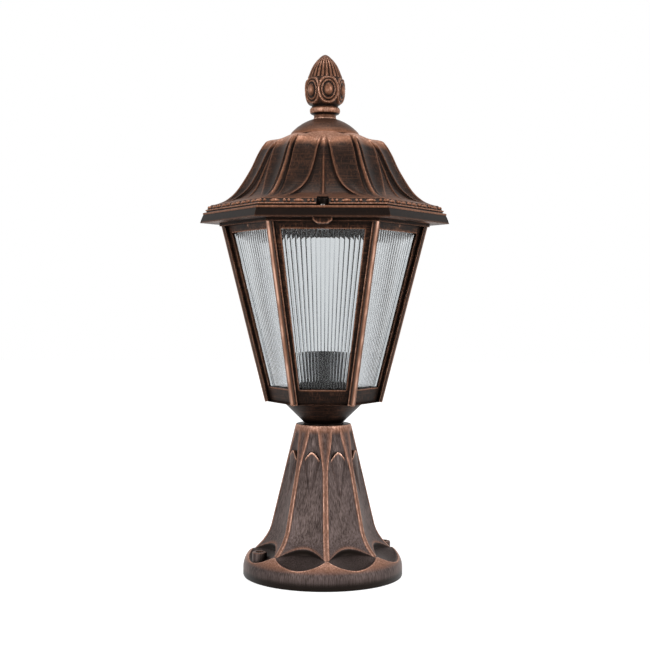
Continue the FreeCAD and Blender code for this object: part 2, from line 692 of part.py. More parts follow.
def hexagon_loft(body, name, kind, low_radius, high_radius, low, high):
    """Six-sided tapered solid, added or cut."""
    sections = []
    for end, radius, height in (("low", low_radius, low), ("high", high_radius, high)):
        sketch = new_sketch(body, f"{name}_{end}", "XY_Plane", (0, 0, height))
        draw_outline(sketch, polygon(radius, SIDES))
        sections.append(sketch)
    loft = body.newObject(f"PartDesign::{kind}", name)
    loft.Profile = sections[0]
    loft.Sections = sections[1:]
    loft.Ruled = True
    document.recompute()


def cut_panels(body):
    """Recessed panels between the posts, and their windows."""
    sketch = face_sketch(body, "panel_outline")
    draw_outline(sketch, [
        (-panel_low_half, 0),
        (panel_low_half, 0),
        (panel_high_half, face_length),
        (-panel_high_half, face_length)])
    panel = extrude(body, "panel", sketch, size.post_relief, cut=True)
    around(body, "panels", panel, SIDES)
    sketch = face_sketch(body, "window_outline")
    draw_outline(sketch, [
        (-window_low_half, size.sill_height),
        (window_low_half, size.sill_height),
        (window_high_half, window_top),
        (-window_high_half, window_top)])
    window = extrude(body, "window", sketch, inner_depth * 2, cut=True)
    around(body, "windows", window, SIDES)


def add_beads(body):
    """Round bead along the corner of each post."""
    length = size.cage_height / cosine(corner_tilt) - size.bead_radius
    bead = primitive(body, "AdditiveCylinder", "bead", {
        "Radius": size.bead_radius, "Height": length, "Angle": 360},
        (size.cage_bottom_radius - size.bead_sink, 0, cage_height), corner_tilt)
    around(body, "beads", bead, SIDES)


def add_catch_lug(body):
    """Lug under the front of the flange that takes the lock screw."""
    low = flange_low - size.catch_height
    sketch = new_sketch(body, "catch_outline", "XZ_Plane", (0, 0, cage_top_half - inner_depth / 2))
    draw_outline(sketch, [
        (size.catch_low_width / -2, low),
        (size.catch_low_width / 2, low),
        (size.catch_width / 2, low + size.catch_height / 2),
        (size.catch_width / 2, flange_low),
        (size.catch_width / -2, flange_low),
        (size.catch_width / -2, low + size.catch_height / 2)])
    extrude(body, "catch_lug", sketch, flange_half - cage_top_half + inner_depth / 2)
    primitive(body, "SubtractiveCylinder", "catch_hole", {
        "Radius": size.screw_radius + size.screw_clearance,
        "Height": size.catch_height + size.flange_thickness, "Angle": 360}, (0, -screw_reach, low))


def add_hinge_arm(body):
    """Arm under the rear of the flange that ends in the hinge's middle knuckle."""
    sketch = new_sketch(body, "arm_profile", "YZ_Plane")
    draw_outline(sketch, [
        (cage_top_half, flange_low - size.knuckle_radius * 2),
        (hinge_reach, hinge_height - size.knuckle_radius),
        (hinge_reach, flange_low - size.lift_gap),
        (flange_half, flange_low - size.lift_gap),
        (flange_half, flange_low),
        (cage_top_half, flange_low)])
    extrude(body, "arm", sketch, size.arm_width, both_ways=True)
    sketch = new_sketch(body, "knuckle_outline", "YZ_Plane")
    draw_circle(sketch, hinge_reach, hinge_height, size.knuckle_radius)
    extrude(body, "knuckle", sketch, size.arm_width, both_ways=True)
    sketch = new_sketch(body, "knuckle_bore_outline", "YZ_Plane")
    draw_circle(sketch, hinge_reach, hinge_height, size.pin_radius + size.pin_clearance)
    extrude(body, "knuckle_bore", sketch, size.arm_width, cut=True, both_ways=True)


def on_face(across, depth, up):
    """Point of the front face's own frame: to the right, behind the surface, up the slope."""
    tilt = math.radians(face_tilt.value)
    return Vector(across,
                  -cage_bottom_half.value - up * math.sin(tilt) + depth * math.cos(tilt),
                  cage_height.value + up * math.cos(tilt) + depth * math.sin(tilt))


def pane_shape():
    """Pane with ribs on its inner side that fan out with the window's taper."""
    low = size.sill_height.value - size.glass_overlap.value
    high = (window_top + size.glass_overlap).value
    front = inner_depth.value + size.glass_gap.value
    back = front + size.glass_base.value
    crest = back + size.rib_height.value
    count = int(size.rib_count.value)
    wires = []
    for up, half in ((low, window_low_half.value), (high, window_high_half.value)):
        edge = half + size.glass_overlap.value
        pitch = 2 * half / count
        edges = [Part.makeLine(on_face(-edge, back, up), on_face(-half, back, up))]
        for rib in range(count):
            left = -half + rib * pitch
            edges.append(Part.Arc(on_face(left, back, up), on_face(left + pitch / 2, crest, up),
                                  on_face(left + pitch, back, up)).toShape())
        corners = [(half, back), (edge, back), (edge, front), (-edge, front), (-edge, back)]
        for start, end in zip(corners, corners[1:]):
            edges.append(Part.makeLine(on_face(*start, up), on_face(*end, up)))
        wires.append(Part.Wire(edges))
    return solid_between(wires, True)


def panes():
    shape = pane_shape()
    for index in range(SIDES):
        pane = keep(plain_feature(f"glass_pane_{index + 1}", shape), f"glass_pane_{index + 1}")
        pane.Placement = FreeCAD.Placement(
            Vector(0, 0, 0), FreeCAD.Rotation(Vector(0, 0, 1), 360 / SIDES * index))


def pane_clips():
    """Spring clips over the upper edge of the panes, and their screws."""
    body = new_body("pane_clips")
    glass_back = inner_depth + size.glass_gap + size.glass_base + size.rib_height + size.glass_gap
    sheet_back = inner_depth + size.clip_sheet
    shelf = clip_shelf
    up_across = cosine(face_tilt)
    up_lean = sine(face_tilt)
    points = [
        (inner_depth, shelf), (glass_back, shelf), (glass_back, shelf - size.clip_tongue),
        (glass_back + size.clip_sheet, shelf - size.clip_tongue),
        (glass_back + size.clip_sheet, shelf + size.clip_sheet), (sheet_back, shelf + size.clip_sheet),
        (sheet_back, shelf + size.clip_foot), (inner_depth, shelf + size.clip_foot)]
    sketch = new_sketch(body, "clip_profile", "YZ_Plane")
    draw_outline(sketch, [
        (depth * up_across - up * up_lean - cage_bottom_half, cage_height + up * up_across + depth * up_lean)
        for depth, up in points])
    clip = extrude(body, "clip", sketch, size.clip_width, both_ways=True)
    around(body, "clips", clip, SIDES)
    sketch = face_sketch(body, "clip_hole_outline", sheet_back, clip_screw_up)
    draw_circle(sketch, 0, 0, size.clip_screw_radius + size.thread_clearance)
    hole = extrude(body, "clip_hole", sketch, size.clip_sheet, cut=True, reverse=True)
    around(body, "clip_holes", hole, SIDES)
    keep(body, "pane_clips")
    body = new_body("pane_clip_screws")
    sketch = face_sketch(body, "head_outline", sheet_back, clip_screw_up)
    draw_circle(sketch, 0, 0, size.clip_screw_head)
    head = extrude(body, "head", sketch, size.clip_screw_head_height, reverse=True)
    around(body, "heads", head, SIDES)
    sketch = face_sketch(body, "shank_outline", sheet_back, clip_screw_up)
    draw_circle(sketch, 0, 0, size.clip_screw_radius)
    shank = extrude(body, "shank", sketch, size.clip_sheet + size.clip_screw_reach)
    around(body, "shanks", shank, SIDES)
    keep(body, "pane_clip_screws")


def petal_section(height, radius, share):
    """Outline of the bell at one height: petals on the hips over petals on the faces.

    share runs from 0 at the foot to 1 at the top.
    """
    half_step = 180 / SIDES
    roundness = 0.75 * share ** 1.5
    depth = math.sin(math.pi * min(1, 0.12 + 0.8 * share)) ** 0.5
    edge = half_step * (0.12 + 0.25 * (1 - share) + 0.4 * (1 - share) ** 6)
    step = half_step * 0.05
    relief = size.petal_relief.value * depth
    hollow = size.petal_hollow.value * depth
    middle = (edge + half_step) / 2
    half_outline = [(0, relief * 0.6), (edge - step, relief), (edge, 0), (middle, hollow), (half_step, 0)]
    points = []
    for side in range(SIDES):
        centre = 360 / SIDES * (side + 0.5)
        mirrored = [(-angle, sink) for angle, sink in reversed(half_outline[1:])]
        for angle, sink in mirrored + half_outline[:-1]:
            flat = math.cos(math.radians(half_step)) / math.cos(math.radians(angle))
            reach = radius * (flat + (1 - flat) * roundness) - sink
            turn_angle = math.radians(centre + angle)
            points.append(Vector(reach * math.cos(turn_angle), reach * math.sin(turn_angle), height))
    return flat_wire(points)


def hexagon_wire(radius, height):
    step = math.radians(360 / SIDES)
    return flat_wire([Vector(radius * math.cos(step * index), radius * math.sin(step * index), height)
                      for index in range(SIDES)])


def bell_stations():
    """Hip line of the bell from its foot to its top: (radius, height)."""
    names = ("foot", "flare", "sweep", "rise", "middle", "swell", "shoulder", "brow", "top")
    base = flange_low.value
    return [((size.eave_radius * getattr(size, f"hip_{name}_share")).value,
             base + getattr(size, f"hip_{name}_height").value) for name in names]


def roof_outer():
    """Eave, frieze and bell as one closed form."""
    low = flange_low.value
    fascia_high = fascia_top.value
    fascia = solid_between([
        hexagon_wire(size.eave_radius.value, low),
        hexagon_wire((size.eave_radius - size.fascia_middle_inset).value, low + size.fascia_middle_height.value),
        hexagon_wire((size.eave_radius - size.fascia_top_inset).value, fascia_high)], False)
    frieze = solid_between([
        hexagon_wire(frieze_radius.value, fascia_high),
        hexagon_wire(frieze_radius.value, frieze_top.value),
        hexagon_wire((size.eave_radius - size.frieze_top_inset).value,
                     frieze_top.value + size.frieze_slope_height.value)], True)
    stations = bell_stations()
    foot = stations[0][1]
    rise = stations[-1][1] - foot
    bell = solid_between([petal_section(height, radius, (height - foot) / rise)
                          for radius, height in stations], False)
    neck = solid_between([hexagon_wire(stations[0][0], frieze_top.value),
                          hexagon_wire(stations[0][0], foot)], True)
    return fascia.fuse([frieze, neck, bell]).removeSplitter()


def roof_inner():
    """Hollow of the roof, with the shoulder that rests on the flange."""
    half = hexagon_half.value
    wall = size.roof_wall.value
    low = flange_low.value
    seat = flange_high.value
    rim = solid_between([
        hexagon_wire(size.eave_radius.value - size.eave_wall.value / half, low - 1),
        hexagon_wire(size.eave_radius.value - size.eave_wall.value / half, seat)], True)
    stations = bell_stations()
    wires = [hexagon_wire(flange_half.value / half - wall, seat)]
    wires.append(hexagon_wire(frieze_radius.value - wall, frieze_top.value - wall))
    for radius, height in stations[1:-2]:
        wires.append(hexagon_wire(radius - wall / half, height - wall / 2))
    brow_radius, brow_height = stations[-2]
    wires.append(hexagon_wire(brow_radius - wall / half, brow_height - wall))
    return rim.fuse(solid_between(wires, True))


def cap_hollow(body):
    """Round hollow of the cap over the bell's own hollow."""
    brow = flange_low + size.hip_brow_height - size.roof_wall
    turn(body, "cap_hollow", [
        (0, brow - 1),
        (size.cap_ring_radius - size.roof_wall, brow - 1),
        (size.cap_ring_radius - size.roof_wall, bell_top),
        (size.cap_top_radius, finial_seat - size.cap_plate),
        (0, finial_seat - size.cap_plate)])


def roof():
    shell = combine("Cut", "roof_shell", plain_feature("roof_outside", roof_outer()),
                    plain_feature("roof_inside", roof_inner()))
    cap = new_body("roof_cap")
    turn(cap, "cap", [
        (0, bell_top - size.roof_wall),
        (size.cap_radius, bell_top - size.roof_wall),
        (size.cap_radius, bell_top),
        (size.cap_ring_radius, bell_top + size.cap_ring_height, size.cap_round),
        (size.cap_top_radius, finial_seat),
        (0, finial_seat)])
    boss = new_body("catch_boss")
    sketch = new_sketch(boss, "boss_outline", "XY_Plane", (0, 0, flange_high))
    back = screw_reach - size.notch_width / 2 - size.roof_wall
    half = size.catch_boss_width / 2
    draw_outline(sketch, [
        (-half, -flange_half), (half, -flange_half), (half, -back), (-half, -back)])
    extrude(boss, "boss", sketch, flange_low + size.hip_sweep_height - flange_high)
    inside = combine("Common", "boss_inside", boss, plain_feature("roof_limit", roof_outer()))
    whole = combine("MultiFuse", "roof_whole", shell, cap, inside, roof_ears())
    keep(combine("Cut", "roof_casting", whole, roof_cuts()), "roof")


def roof_ears():
    """Ears behind the eave that turn on the hinge pin."""
    body = new_body("roof_ears")
    inner = size.arm_width / 2 + size.hinge_side_gap
    rim = eave_half - size.eave_wall
    for name, start in (("right", inner), ("left", -inner - size.ear_width)):
        sketch = new_sketch(body, f"{name}_ear_profile", "YZ_Plane", (0, 0, start))
        draw_outline(sketch, [
            (rim, flange_low),
            (hinge_reach, hinge_height - size.knuckle_radius, size.knuckle_radius),
            (hinge_reach + size.knuckle_radius, hinge_height, size.knuckle_radius),
            (hinge_reach, hinge_height + size.knuckle_radius),
            (rim, flange_low + size.fascia_height / 2)])
        extrude(body, f"{name}_ear", sketch, size.ear_width)
    return body


def roof_cuts():
    """Hollow of the cap, stud hole, notch and hole of the lock screw, bore of the hinge pin."""
    body = new_body("roof_cuts")
    cap_hollow(body)
    primitive(body, "AdditiveCylinder", "stud_hole", {
        "Radius": size.stud_radius + size.stud_clearance, "Height": size.cap_plate + 2, "Angle": 360},
        (0, 0, finial_seat - size.cap_plate - 1))
    others = new_body("catch_cuts")
    half = size.notch_width / 2
    top = size.hip_sweep_height
    sketch = new_sketch(others, "notch_outline", "XY_Plane", (0, 0, fascia_top))
    draw_outline(sketch, [
        (-half, -size.eave_radius), (half, -size.eave_radius), (half, -screw_reach, half),
        (0, half - screw_reach, half), (-half, -screw_reach)])
    extrude(others, "notch", sketch, top)
    primitive(others, "AdditiveCylinder", "screw_hole", {
        "Radius": size.screw_radius + size.screw_clearance / 2, "Height": size.fascia_height + 2, "Angle": 360},
        (0, -screw_reach, flange_low - 1))
    bore = new_body("ear_bores")
    sketch = new_sketch(bore, "ear_bore_outline", "YZ_Plane")
    draw_circle(sketch, hinge_reach, hinge_height, size.pin_radius + size.pin_clearance)
    extrude(bore, "ear_bore", sketch, size.arm_width + 4 * size.ear_width, both_ways=True)
    return combine("MultiFuse", "roof_cut_tools", body, others, bore)


def hinge_pin():
    body = new_body("hinge_pin")
    sketch = new_sketch(body, "pin_outline", "YZ_Plane")
    draw_circle(sketch, hinge_reach, hinge_height, size.pin_radius)
    length = size.arm_width + 2 * (size.hinge_side_gap + size.ear_width + size.pin_overhang)
    extrude(body, "pin", sketch, length, both_ways=True)
    keep(body, "hinge_pin")


def lock_screw():
    """Round-headed screw with a slot, upright in the notch of the frieze."""
    body = new_body("lock_screw")
    turn(body, "screw", [
        (0, flange_low - size.catch_height + size.screw_end),
        (size.screw_radius, flange_low - size.catch_height + size.screw_end),
        (size.screw_radius, fascia_top),
        (size.screw_head_radius, fascia_top),
        (size.screw_head_radius, fascia_top + size.screw_head_height / 2, size.screw_head_radius * 2),
        (0, fascia_top + size.screw_head_height)])
    sketch = new_sketch(body, "slot_outline", "XY_Plane", (0, 0, fascia_top + size.screw_head_height / 2))
    reach = size.screw_head_radius + 1
    half = size.screw_slot / 2
    draw_outline(sketch, [(-reach, -half), (reach, -half), (reach, half), (-reach, half)])
    extrude(body, "slot", sketch, size.screw_head_height, cut=True, reverse=True)
    bind(body, ".Placement.Base.y", -screw_reach)
    keep(body, "lock_screw")


def bud_taper(share):
    """Radius of the bud at a share of its height, as a share of the radius at its foot."""
    return (1 - share ** 1.25) ** 0.72


def bud_shape():
    """Upper half of the finial: an egg with sharp flutes."""
    count = int(size.bud_flutes.value)
    base = finial_seat.value + cup_top.value
    wires = []
    for share in (0, 0.25, 0.5, 0.75, TIP_SHARE):
        radius = size.bud_radius.value * bud_taper(share)
        depth = size.flute_depth.value * (1 - share) ** 0.5
        points = []
        for index in range(2 * count):
            angle = math.pi * index / count
            reach = radius - depth * (index % 2)
            points.append(Vector(reach * math.cos(angle), reach * math.sin(angle),
                                 base + share * size.bud_height.value))
        wires.append(flat_wire(points))
    return solid_between(wires, False)


def add_ovals(body, kind, name, reach, height, length, width, relief):
    """Ring of ellipsoids round the finial's cup, added or cut."""
    oval = primitive(body, kind, name, {
        "Radius1": length / 2, "Radius2": relief, "Radius3": width / 2,
        "Angle1": -90, "Angle2": 90, "Angle3": 360}, (reach, 0, height))
    around(body, f"{name}s", oval, size.oval_count)


def finial():
    body = new_body("finial_cup")
    ring_low = finial_seat + size.finial_neck_height
    ring_high = ring_low + size.finial_ring_height
    top = finial_seat + cup_top
    tip = size.bud_height * (1 - TIP_SHARE)
    turn(body, "cup", [
        (0, finial_seat),
        (size.finial_neck_radius, finial_seat),
        (size.finial_neck_radius, ring_low, size.finial_ring_height / 2),
        (size.finial_ring_radius, ring_low + size.finial_ring_height / 2, size.finial_ring_height / 2),
        (size.finial_neck_radius, ring_high),
        (size.cup_low_radius, ring_high, size.cup_round),
        (size.cup_radius, ring_high + size.cup_height * 0.62, size.cup_round),
        (size.bud_radius, top),
        (0, top)])
    middle = ring_high + size.cup_height * 0.52
    frame_reach = size.cup_radius - size.oval_relief / 2
    add_ovals(body, "AdditiveEllipsoid", "oval_frame", frame_reach, middle,
              size.oval_height, size.oval_width, size.oval_relief)
    add_ovals(body, "SubtractiveEllipsoid", "oval_dish", size.cup_radius + size.oval_relief / 2, middle,
              size.oval_height - 2 * size.oval_border, size.oval_width - 2 * size.oval_border, size.oval_relief)
    add_ovals(body, "AdditiveEllipsoid", "oval_boss", frame_reach, middle,
              size.oval_boss_height, size.oval_boss_width, size.oval_relief)
    body.Placement = FreeCAD.Placement(Vector(0, 0, 0), FreeCAD.Rotation(Vector(0, 0, 1), 1))
    bind(body, ".Placement.Rotation.Angle", 180 / SIDES + size.oval_turn)
    tip_body = new_body("finial_tip")
    tip_radius = size.bud_radius * bud_taper(TIP_SHARE)
    high = top + size.bud_height
    turn(tip_body, "tip", [
        (0, high - tip - 1), (tip_radius, high - tip - 1), (tip_radius, high - tip), (0, high)])
    whole = combine("MultiFuse", "finial_whole", body, plain_feature("finial_bud", bud_shape()), tip_body)
    hole = new_body("finial_hole")
    primitive(hole, "AdditiveCylinder", "stud_hole", {
        "Radius": size.stud_radius + size.stud_clearance, "Height": size.stud_up + 1, "Angle": 360},
        (0, 0, finial_seat - 1))
    keep(combine("Cut", "finial_casting", whole, hole), "finial")


def finial_fixing():
    """Stud, washer and nut that hold the finial on the cap."""
    plate_low = finial_seat - size.cap_plate
    turned_part("finial_stud", [
        (0, plate_low - size.stud_down), (size.stud_radius, plate_low - size.stud_down),
        (size.stud_radius, finial_seat + size.stud_up), (0, finial_seat + size.stud_up)])
    bore = size.stud_radius + size.stud_clearance
    washer_low = plate_low - size.small_washer_height
    ring_part("finial_washer", size.small_washer_radius, bore, washer_low, plate_low)
    nut_part("finial_nut", size.small_nut_flat, bore, washer_low - size.small_nut_height, size.small_nut_height)


def tube_and_nuts():
    """Threaded tube through pedestal and boat, held by a nut and a washer at each end."""
    bore = size.tube_radius + size.thread_clearance
    lower_washer_low = web_height - size.washer_height
    lower_nut_low = lower_washer_low - size.nut_height
    upper_washer_high = bowl_height + size.washer_height
    ring_part("lower_washer", size.washer_radius, bore, lower_washer_low, web_height)
    nut_part("lower_nut", size.nut_flat, bore, lower_nut_low, size.nut_height)
    ring_part("upper_washer", size.washer_radius, bore, bowl_height, upper_washer_high)
    nut_part("upper_nut", size.nut_flat, bore, upper_washer_high, size.nut_height)
    ring_part("threaded_tube", size.tube_radius, size.tube_bore,
              lower_nut_low - size.tube_tail, holder_low + size.tube_entry)


def lampholder():
    """Cap, skirt, insert, screw shell and centre contact of the lampholder."""
    high = holder_low + size.holder_height
    cap_high = holder_low + size.holder_cap_height
    inner = size.holder_radius - size.holder_wall
    plug = inner - size.holder_fit
    entry = size.tube_radius + size.thread_clearance
    cap_floor = holder_low + size.tube_entry + size.holder_cap_wall
    turned_part("holder_cap", [
        (entry, holder_low),
        (size.holder_foot_radius, holder_low),
        (size.holder_foot_radius, holder_low + size.holder_cap_height / 4),
        (size.holder_radius, cap_high - size.holder_cap_wall),
        (size.holder_radius, cap_high),
        (inner - size.holder_wall, cap_high),
        (inner - size.holder_wall, cap_floor),
        (entry, cap_floor)])
    ring_part("holder_skirt", size.holder_radius, inner, cap_high, high)
    insert_high = cap_high + size.insert_height
    contact_low = insert_high - size.contact_height
    recess = size.contact_radius + size.holder_fit
    wire_way = size.contact_radius / 2
    turned_part("holder_insert", [
        (wire_way, cap_high), (plug, cap_high), (plug, insert_high),
        (recess, insert_high), (recess, contact_low), (wire_way, contact_low)])
    shell_outer = size.shell_bore + size.shell_wall
    ring_part("screw_shell", shell_outer, size.shell_bore, insert_high, insert_high + size.shell_height)
    turned_part("centre_contact", [
        (0, contact_low), (size.contact_radius, contact_low),
        (size.contact_radius, insert_high - size.contact_height / 2),
        (size.contact_radius / 2, insert_high - size.holder_fit),
        (0, insert_high - size.holder_fit)])


def terminals():
    """Terminal block under its boss, its screws, and the earth screw."""
    block_high = web_height - size.terminal_drop
    block_low = block_high - size.terminal_height
    middle = size.boss_reach
    body = new_body("terminal_block")
    sketch = new_sketch(body, "block_outline", "XY_Plane", (0, 0, block_low))
    half = size.terminal_length / 2
    deep = size.terminal_depth / 2
    draw_outline(sketch, [
        (-half, middle - deep), (half, middle - deep), (half, middle + deep), (-half, middle + deep)])
    draw_circle(sketch, size.pole_pitch / 2, middle, size.fixing_radius + size.thread_clearance)
    extrude(body, "block", sketch, size.terminal_height)
    count = int(size.pole_count.value)
    poles = [size.pole_pitch * (index - (count - 1) / 2) for index in range(count)]
    sketch = new_sketch(body, "wire_holes_outline", "XZ_Plane", (0, 0, -middle))
    for pole in poles:
        draw_circle(sketch, pole, block_low + size.terminal_height / 2, size.wire_hole)
    extrude(body, "wire_holes", sketch, size.terminal_depth, cut=True, both_ways=True)
    sketch = new_sketch(body, "clamp_holes_outline", "XY_Plane", (0, 0, block_low))
    screws = new_body("clamp_screws")
    screw_sketch = new_sketch(screws, "clamp_outline", "XY_Plane", (0, 0, block_low + size.clamp_sink))
    for pole in poles:
        for row in (-0.5, 0.5):
            draw_circle(sketch, pole, middle + size.clamp_row * row, size.clamp_radius + size.thread_clearance)
            draw_circle(screw_sketch, pole, middle + size.clamp_row * row, size.clamp_radius)
    extrude(body, "clamp_holes", sketch, size.terminal_height / 2, cut=True, reverse=True)
    extrude(screws, "clamps", screw_sketch, size.clamp_length)
    for thing, label in ((body, "terminal_block"), (screws, "clamp_screws")):
        turn_with_pedestal(thing)
        keep(thing, label)
    fixing_screw("terminal_screw", "terminal", block_low, size.terminal_height)
    washer_low = web_height - size.earth_drop - size.earth_washer_height
    washer = ring_part("earth_washer", size.earth_washer_radius, size.fixing_radius + size.thread_clearance,
                       washer_low, washer_low + size.earth_washer_height)
    move_to_boss(washer, "earth")
    fixing_screw("earth_screw", "earth", washer_low, size.earth_washer_height)


def fixing_screw(label, boss, low, grip):
    """Screw from below into a boss, through a grip that starts at a height."""
    screw = turned_part(label, [
        (0, low - size.fixing_head_height),
        (size.fixing_head, low - size.fixing_head_height),
        (size.fixing_head, low),
        (size.fixing_radius, low),
        (size.fixing_radius, low + grip + size.fixing_reach),
        (0, low + grip + size.fixing_reach)])
    move_to_boss(screw, boss)


def turn_with_pedestal(thing):
    """Turn a piece that sits in the pedestal as the pedestal is turned."""
    thing.Placement = FreeCAD.Placement(Vector(0, 0, 0), FreeCAD.Rotation(Vector(0, 0, 1), 1))
    bind(thing, ".Placement.Rotation.Angle", pedestal_angle)


def move_to_boss(thing, boss):
    """Put a turned piece on the axis of a boss under the pedestal's web."""
    across, along = boss_places[boss]
    bind(thing, ".Placement.Base.x", across * cosine(pedestal_angle) - along * sine(pedestal_angle))
    bind(thing, ".Placement.Base.y", across * sine(pedestal_angle) + along * cosine(pedestal_angle))


# Places that several pieces share
pedestal_angle = 180 / size.flank_count + size.pedestal_turn
boss_places = {"terminal": (size.pole_pitch / 2, size.boss_reach), "earth": (as_size(0), -size.boss_reach)}
holder_low = bowl_height + size.washer_height + size.nut_height
clip_shelf = window_top + size.glass_overlap + size.glass_gap
clip_screw_up = clip_shelf + size.clip_sheet + (size.clip_foot - size.clip_sheet) / 2
cup_top = size.finial_neck_height + size.finial_ring_height + size.cup_height

pedestal()
lantern_frame()
panes()
pane_clips()
roof()
hinge_pin()
lock_screw()
finial()
finial_fixing()
tube_and_nuts()
lampholder()
terminals()
document.recompute()

faults = [thing.Label for thing in document.Objects if {"Invalid", "Error"} & set(thing.State)]
faults += [part.Label for part in sub_parts if part.Shape.isNull() or not part.Shape.isValid()]
if faults:
    raise RuntimeError(f"failed objects: {faults}")
os.makedirs("parts", exist_ok=True)
for part in sub_parts:
    part.Shape.exportStep(f"parts/{part.Label}.step")
    print(part.Label, len(part.Shape.Solids), round(part.Shape.Volume))
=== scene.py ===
"""Garden lantern on a pedestal: looks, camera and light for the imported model."""

import math

import bmesh
import bpy
import numpy as np
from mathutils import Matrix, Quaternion, Vector


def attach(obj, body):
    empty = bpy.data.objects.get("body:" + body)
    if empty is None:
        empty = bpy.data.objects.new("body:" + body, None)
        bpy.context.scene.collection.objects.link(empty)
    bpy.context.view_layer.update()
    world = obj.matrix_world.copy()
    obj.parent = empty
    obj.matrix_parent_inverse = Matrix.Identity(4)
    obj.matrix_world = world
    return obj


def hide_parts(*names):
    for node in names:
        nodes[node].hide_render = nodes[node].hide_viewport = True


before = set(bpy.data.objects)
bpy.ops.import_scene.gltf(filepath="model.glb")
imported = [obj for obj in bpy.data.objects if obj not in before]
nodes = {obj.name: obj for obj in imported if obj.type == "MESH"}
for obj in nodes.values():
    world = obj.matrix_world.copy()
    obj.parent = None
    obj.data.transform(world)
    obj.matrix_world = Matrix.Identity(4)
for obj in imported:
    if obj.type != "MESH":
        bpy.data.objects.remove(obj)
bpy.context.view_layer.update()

MILLIMETRE = 0.001
SIDES = 6
HALF_STEP = math.pi / SIDES

# Colours, linear
DARK = (0.005, 0.0034, 0.003, 1)
MID = (0.015, 0.0095, 0.008, 1)
BROWN_FILM = (0.3, 0.224, 0.212, 1)
COPPER_FILM = (0.32, 0.14, 0.08, 1)
RUBBED = (0.42, 0.18, 0.1, 1)
EDGE = (0.9, 0.57, 0.44, 1)
# Painted shade: the near black that recesses and creases turn to
PAINTED_SHADE = (0.003, 0.002, 0.0017, 1)
SHEEN = (1, 0.76, 0.64, 1)
RIB_CREST = (0.74, 0.76, 0.78, 1)
# Painted shade on the flanks of the glass ribs
RIB_FLANK_SHADE = (0.3, 0.32, 0.35, 1)
GLASS_BEYOND = (0.9, 0.91, 0.91, 1)
FLOOR_GREY = (0.5, 0.5, 0.5, 1)
WHITE = (1, 1, 1, 1)

# Wear of the finish, and painted shade in its recesses: reaches in metres, and spans of values from none to
# all
RECESS_REACH = 0.014
EDGE_REACH = 0.002
OCCLUSION_SAMPLES = 6
STREAK_ROUGHNESS = 0.55
BLOTCH_SCALE = (45, 45, 45)
GRAIN_SCALE = (1500, 1500, 1500)
OPEN_SPAN = (0.4, 0.95)
EDGE_SPAN = (0.12, 0.5)
NOISE_SPAN = (0.3, 0.7)
BRIGHT_SPAN = (0.35, 1.0)
STROKE_LEVELS = (0.6, 0.95)
CLIMB_LEVELS = (0.3, 1.0)
SPOT_SPAN = (0.014, 0.01)
STREAK_SHARE = 0.7
BLOTCH_SHARE = 0.3
WORN_METALLIC = 0.7
PAINT_ROUGHNESS = 0.42
WORN_SMOOTHING = 0.06

# Front of the catch lug, in metres
CATCH_LUG = (0, -0.1, 0.334)

# Glass: span of the sideways lean of its ribs from crest to flank, over which the flanks' painted shade
# grows
RIB_LEAN = (0.25, 0.6)
GLASS_INDEX = 1.32

# Floor: its seen brightness grows over these distances in metres, between these levels
SHADE_REACH = (0.1, 0.6)
SHADE_LEVELS = (0.84, 1.0)


class Tree:
    """Builds the shader nodes of a material or a world."""

    def __init__(self, owner, output):
        self.owner = owner
        owner.use_nodes = True
        self.tree = owner.node_tree
        self.tree.nodes.clear()
        self.output = self.tree.nodes.new(output)

    def put(self, socket, value):
        """Link a socket, or set its value."""
        if isinstance(value, bpy.types.NodeSocket):
            self.tree.links.new(value, socket)
        else:
            socket.default_value = value

    def add(self, kind, values=None, **settings):
        """New node with its settings and inputs."""
        node = self.tree.nodes.new(kind)
        for key, value in settings.items():
            setattr(node, key, value)
        for key, value in (values or {}).items():
            self.put(node.inputs[key], value)
        return node

    def math(self, operation, first, second=0.0, clamp=False):
        """Number made from two numbers."""
        node = self.add("ShaderNodeMath", {0: first, 1: second}, operation=operation, use_clamp=clamp)
        return node.outputs[0]

    def measure(self, operation, first, second=(0, 0, 0)):
        """Number made from two vectors."""
        node = self.add("ShaderNodeVectorMath", {0: first, 1: second}, operation=operation)
        return node.outputs["Value"]

    def mix(self, factor, first, second):
        """Colour between two colours."""
        node = self.add("ShaderNodeMix", {0: factor, 6: first, 7: second}, data_type="RGBA")
        return node.outputs[2]

    def span(self, value, low, high, start=0.0, end=1.0):
        """Value from low to high, as start to end."""
        values = {0: value, 1: low, 2: high, 3: start, 4: end}
        return self.add("ShaderNodeMapRange", values, interpolation_type="SMOOTHSTEP").outputs[0]

    def place(self):
        """Place in the row frame."""
        return self.add("ShaderNodeTexCoord").outputs["Object"]

    def noise(self, scale, detail=3.0, roughness=0.6):
        """Noise in the row frame, with its own scale along X, Y and Z."""
        values = {0: self.place(), 1: scale}
        stretched = self.add("ShaderNodeVectorMath", values, operation="MULTIPLY").outputs[0]
        values = {"Vector": stretched, "Scale": 1.0, "Detail": detail, "Roughness": roughness}
        return self.add("ShaderNodeTexNoise", values).outputs[0]

    def background_rays(self):
        """1 for the rays that show the background: from the camera, in glossy faces and through glass."""
        path = self.add("ShaderNodeLightPath")
        seen = self.math("MAXIMUM", path.outputs["Is Camera Ray"], path.outputs["Is Transmission Ray"])
        return self.math("MAXIMUM", seen, path.outputs["Is Glossy Ray"])

    def finish(self, shader):
        """Put the shader on the surface."""
        self.put(self.output.inputs["Surface"], shader)
        return self.owner


def material_tree(name):
    return Tree(bpy.data.materials.new(name), "ShaderNodeOutputMaterial")


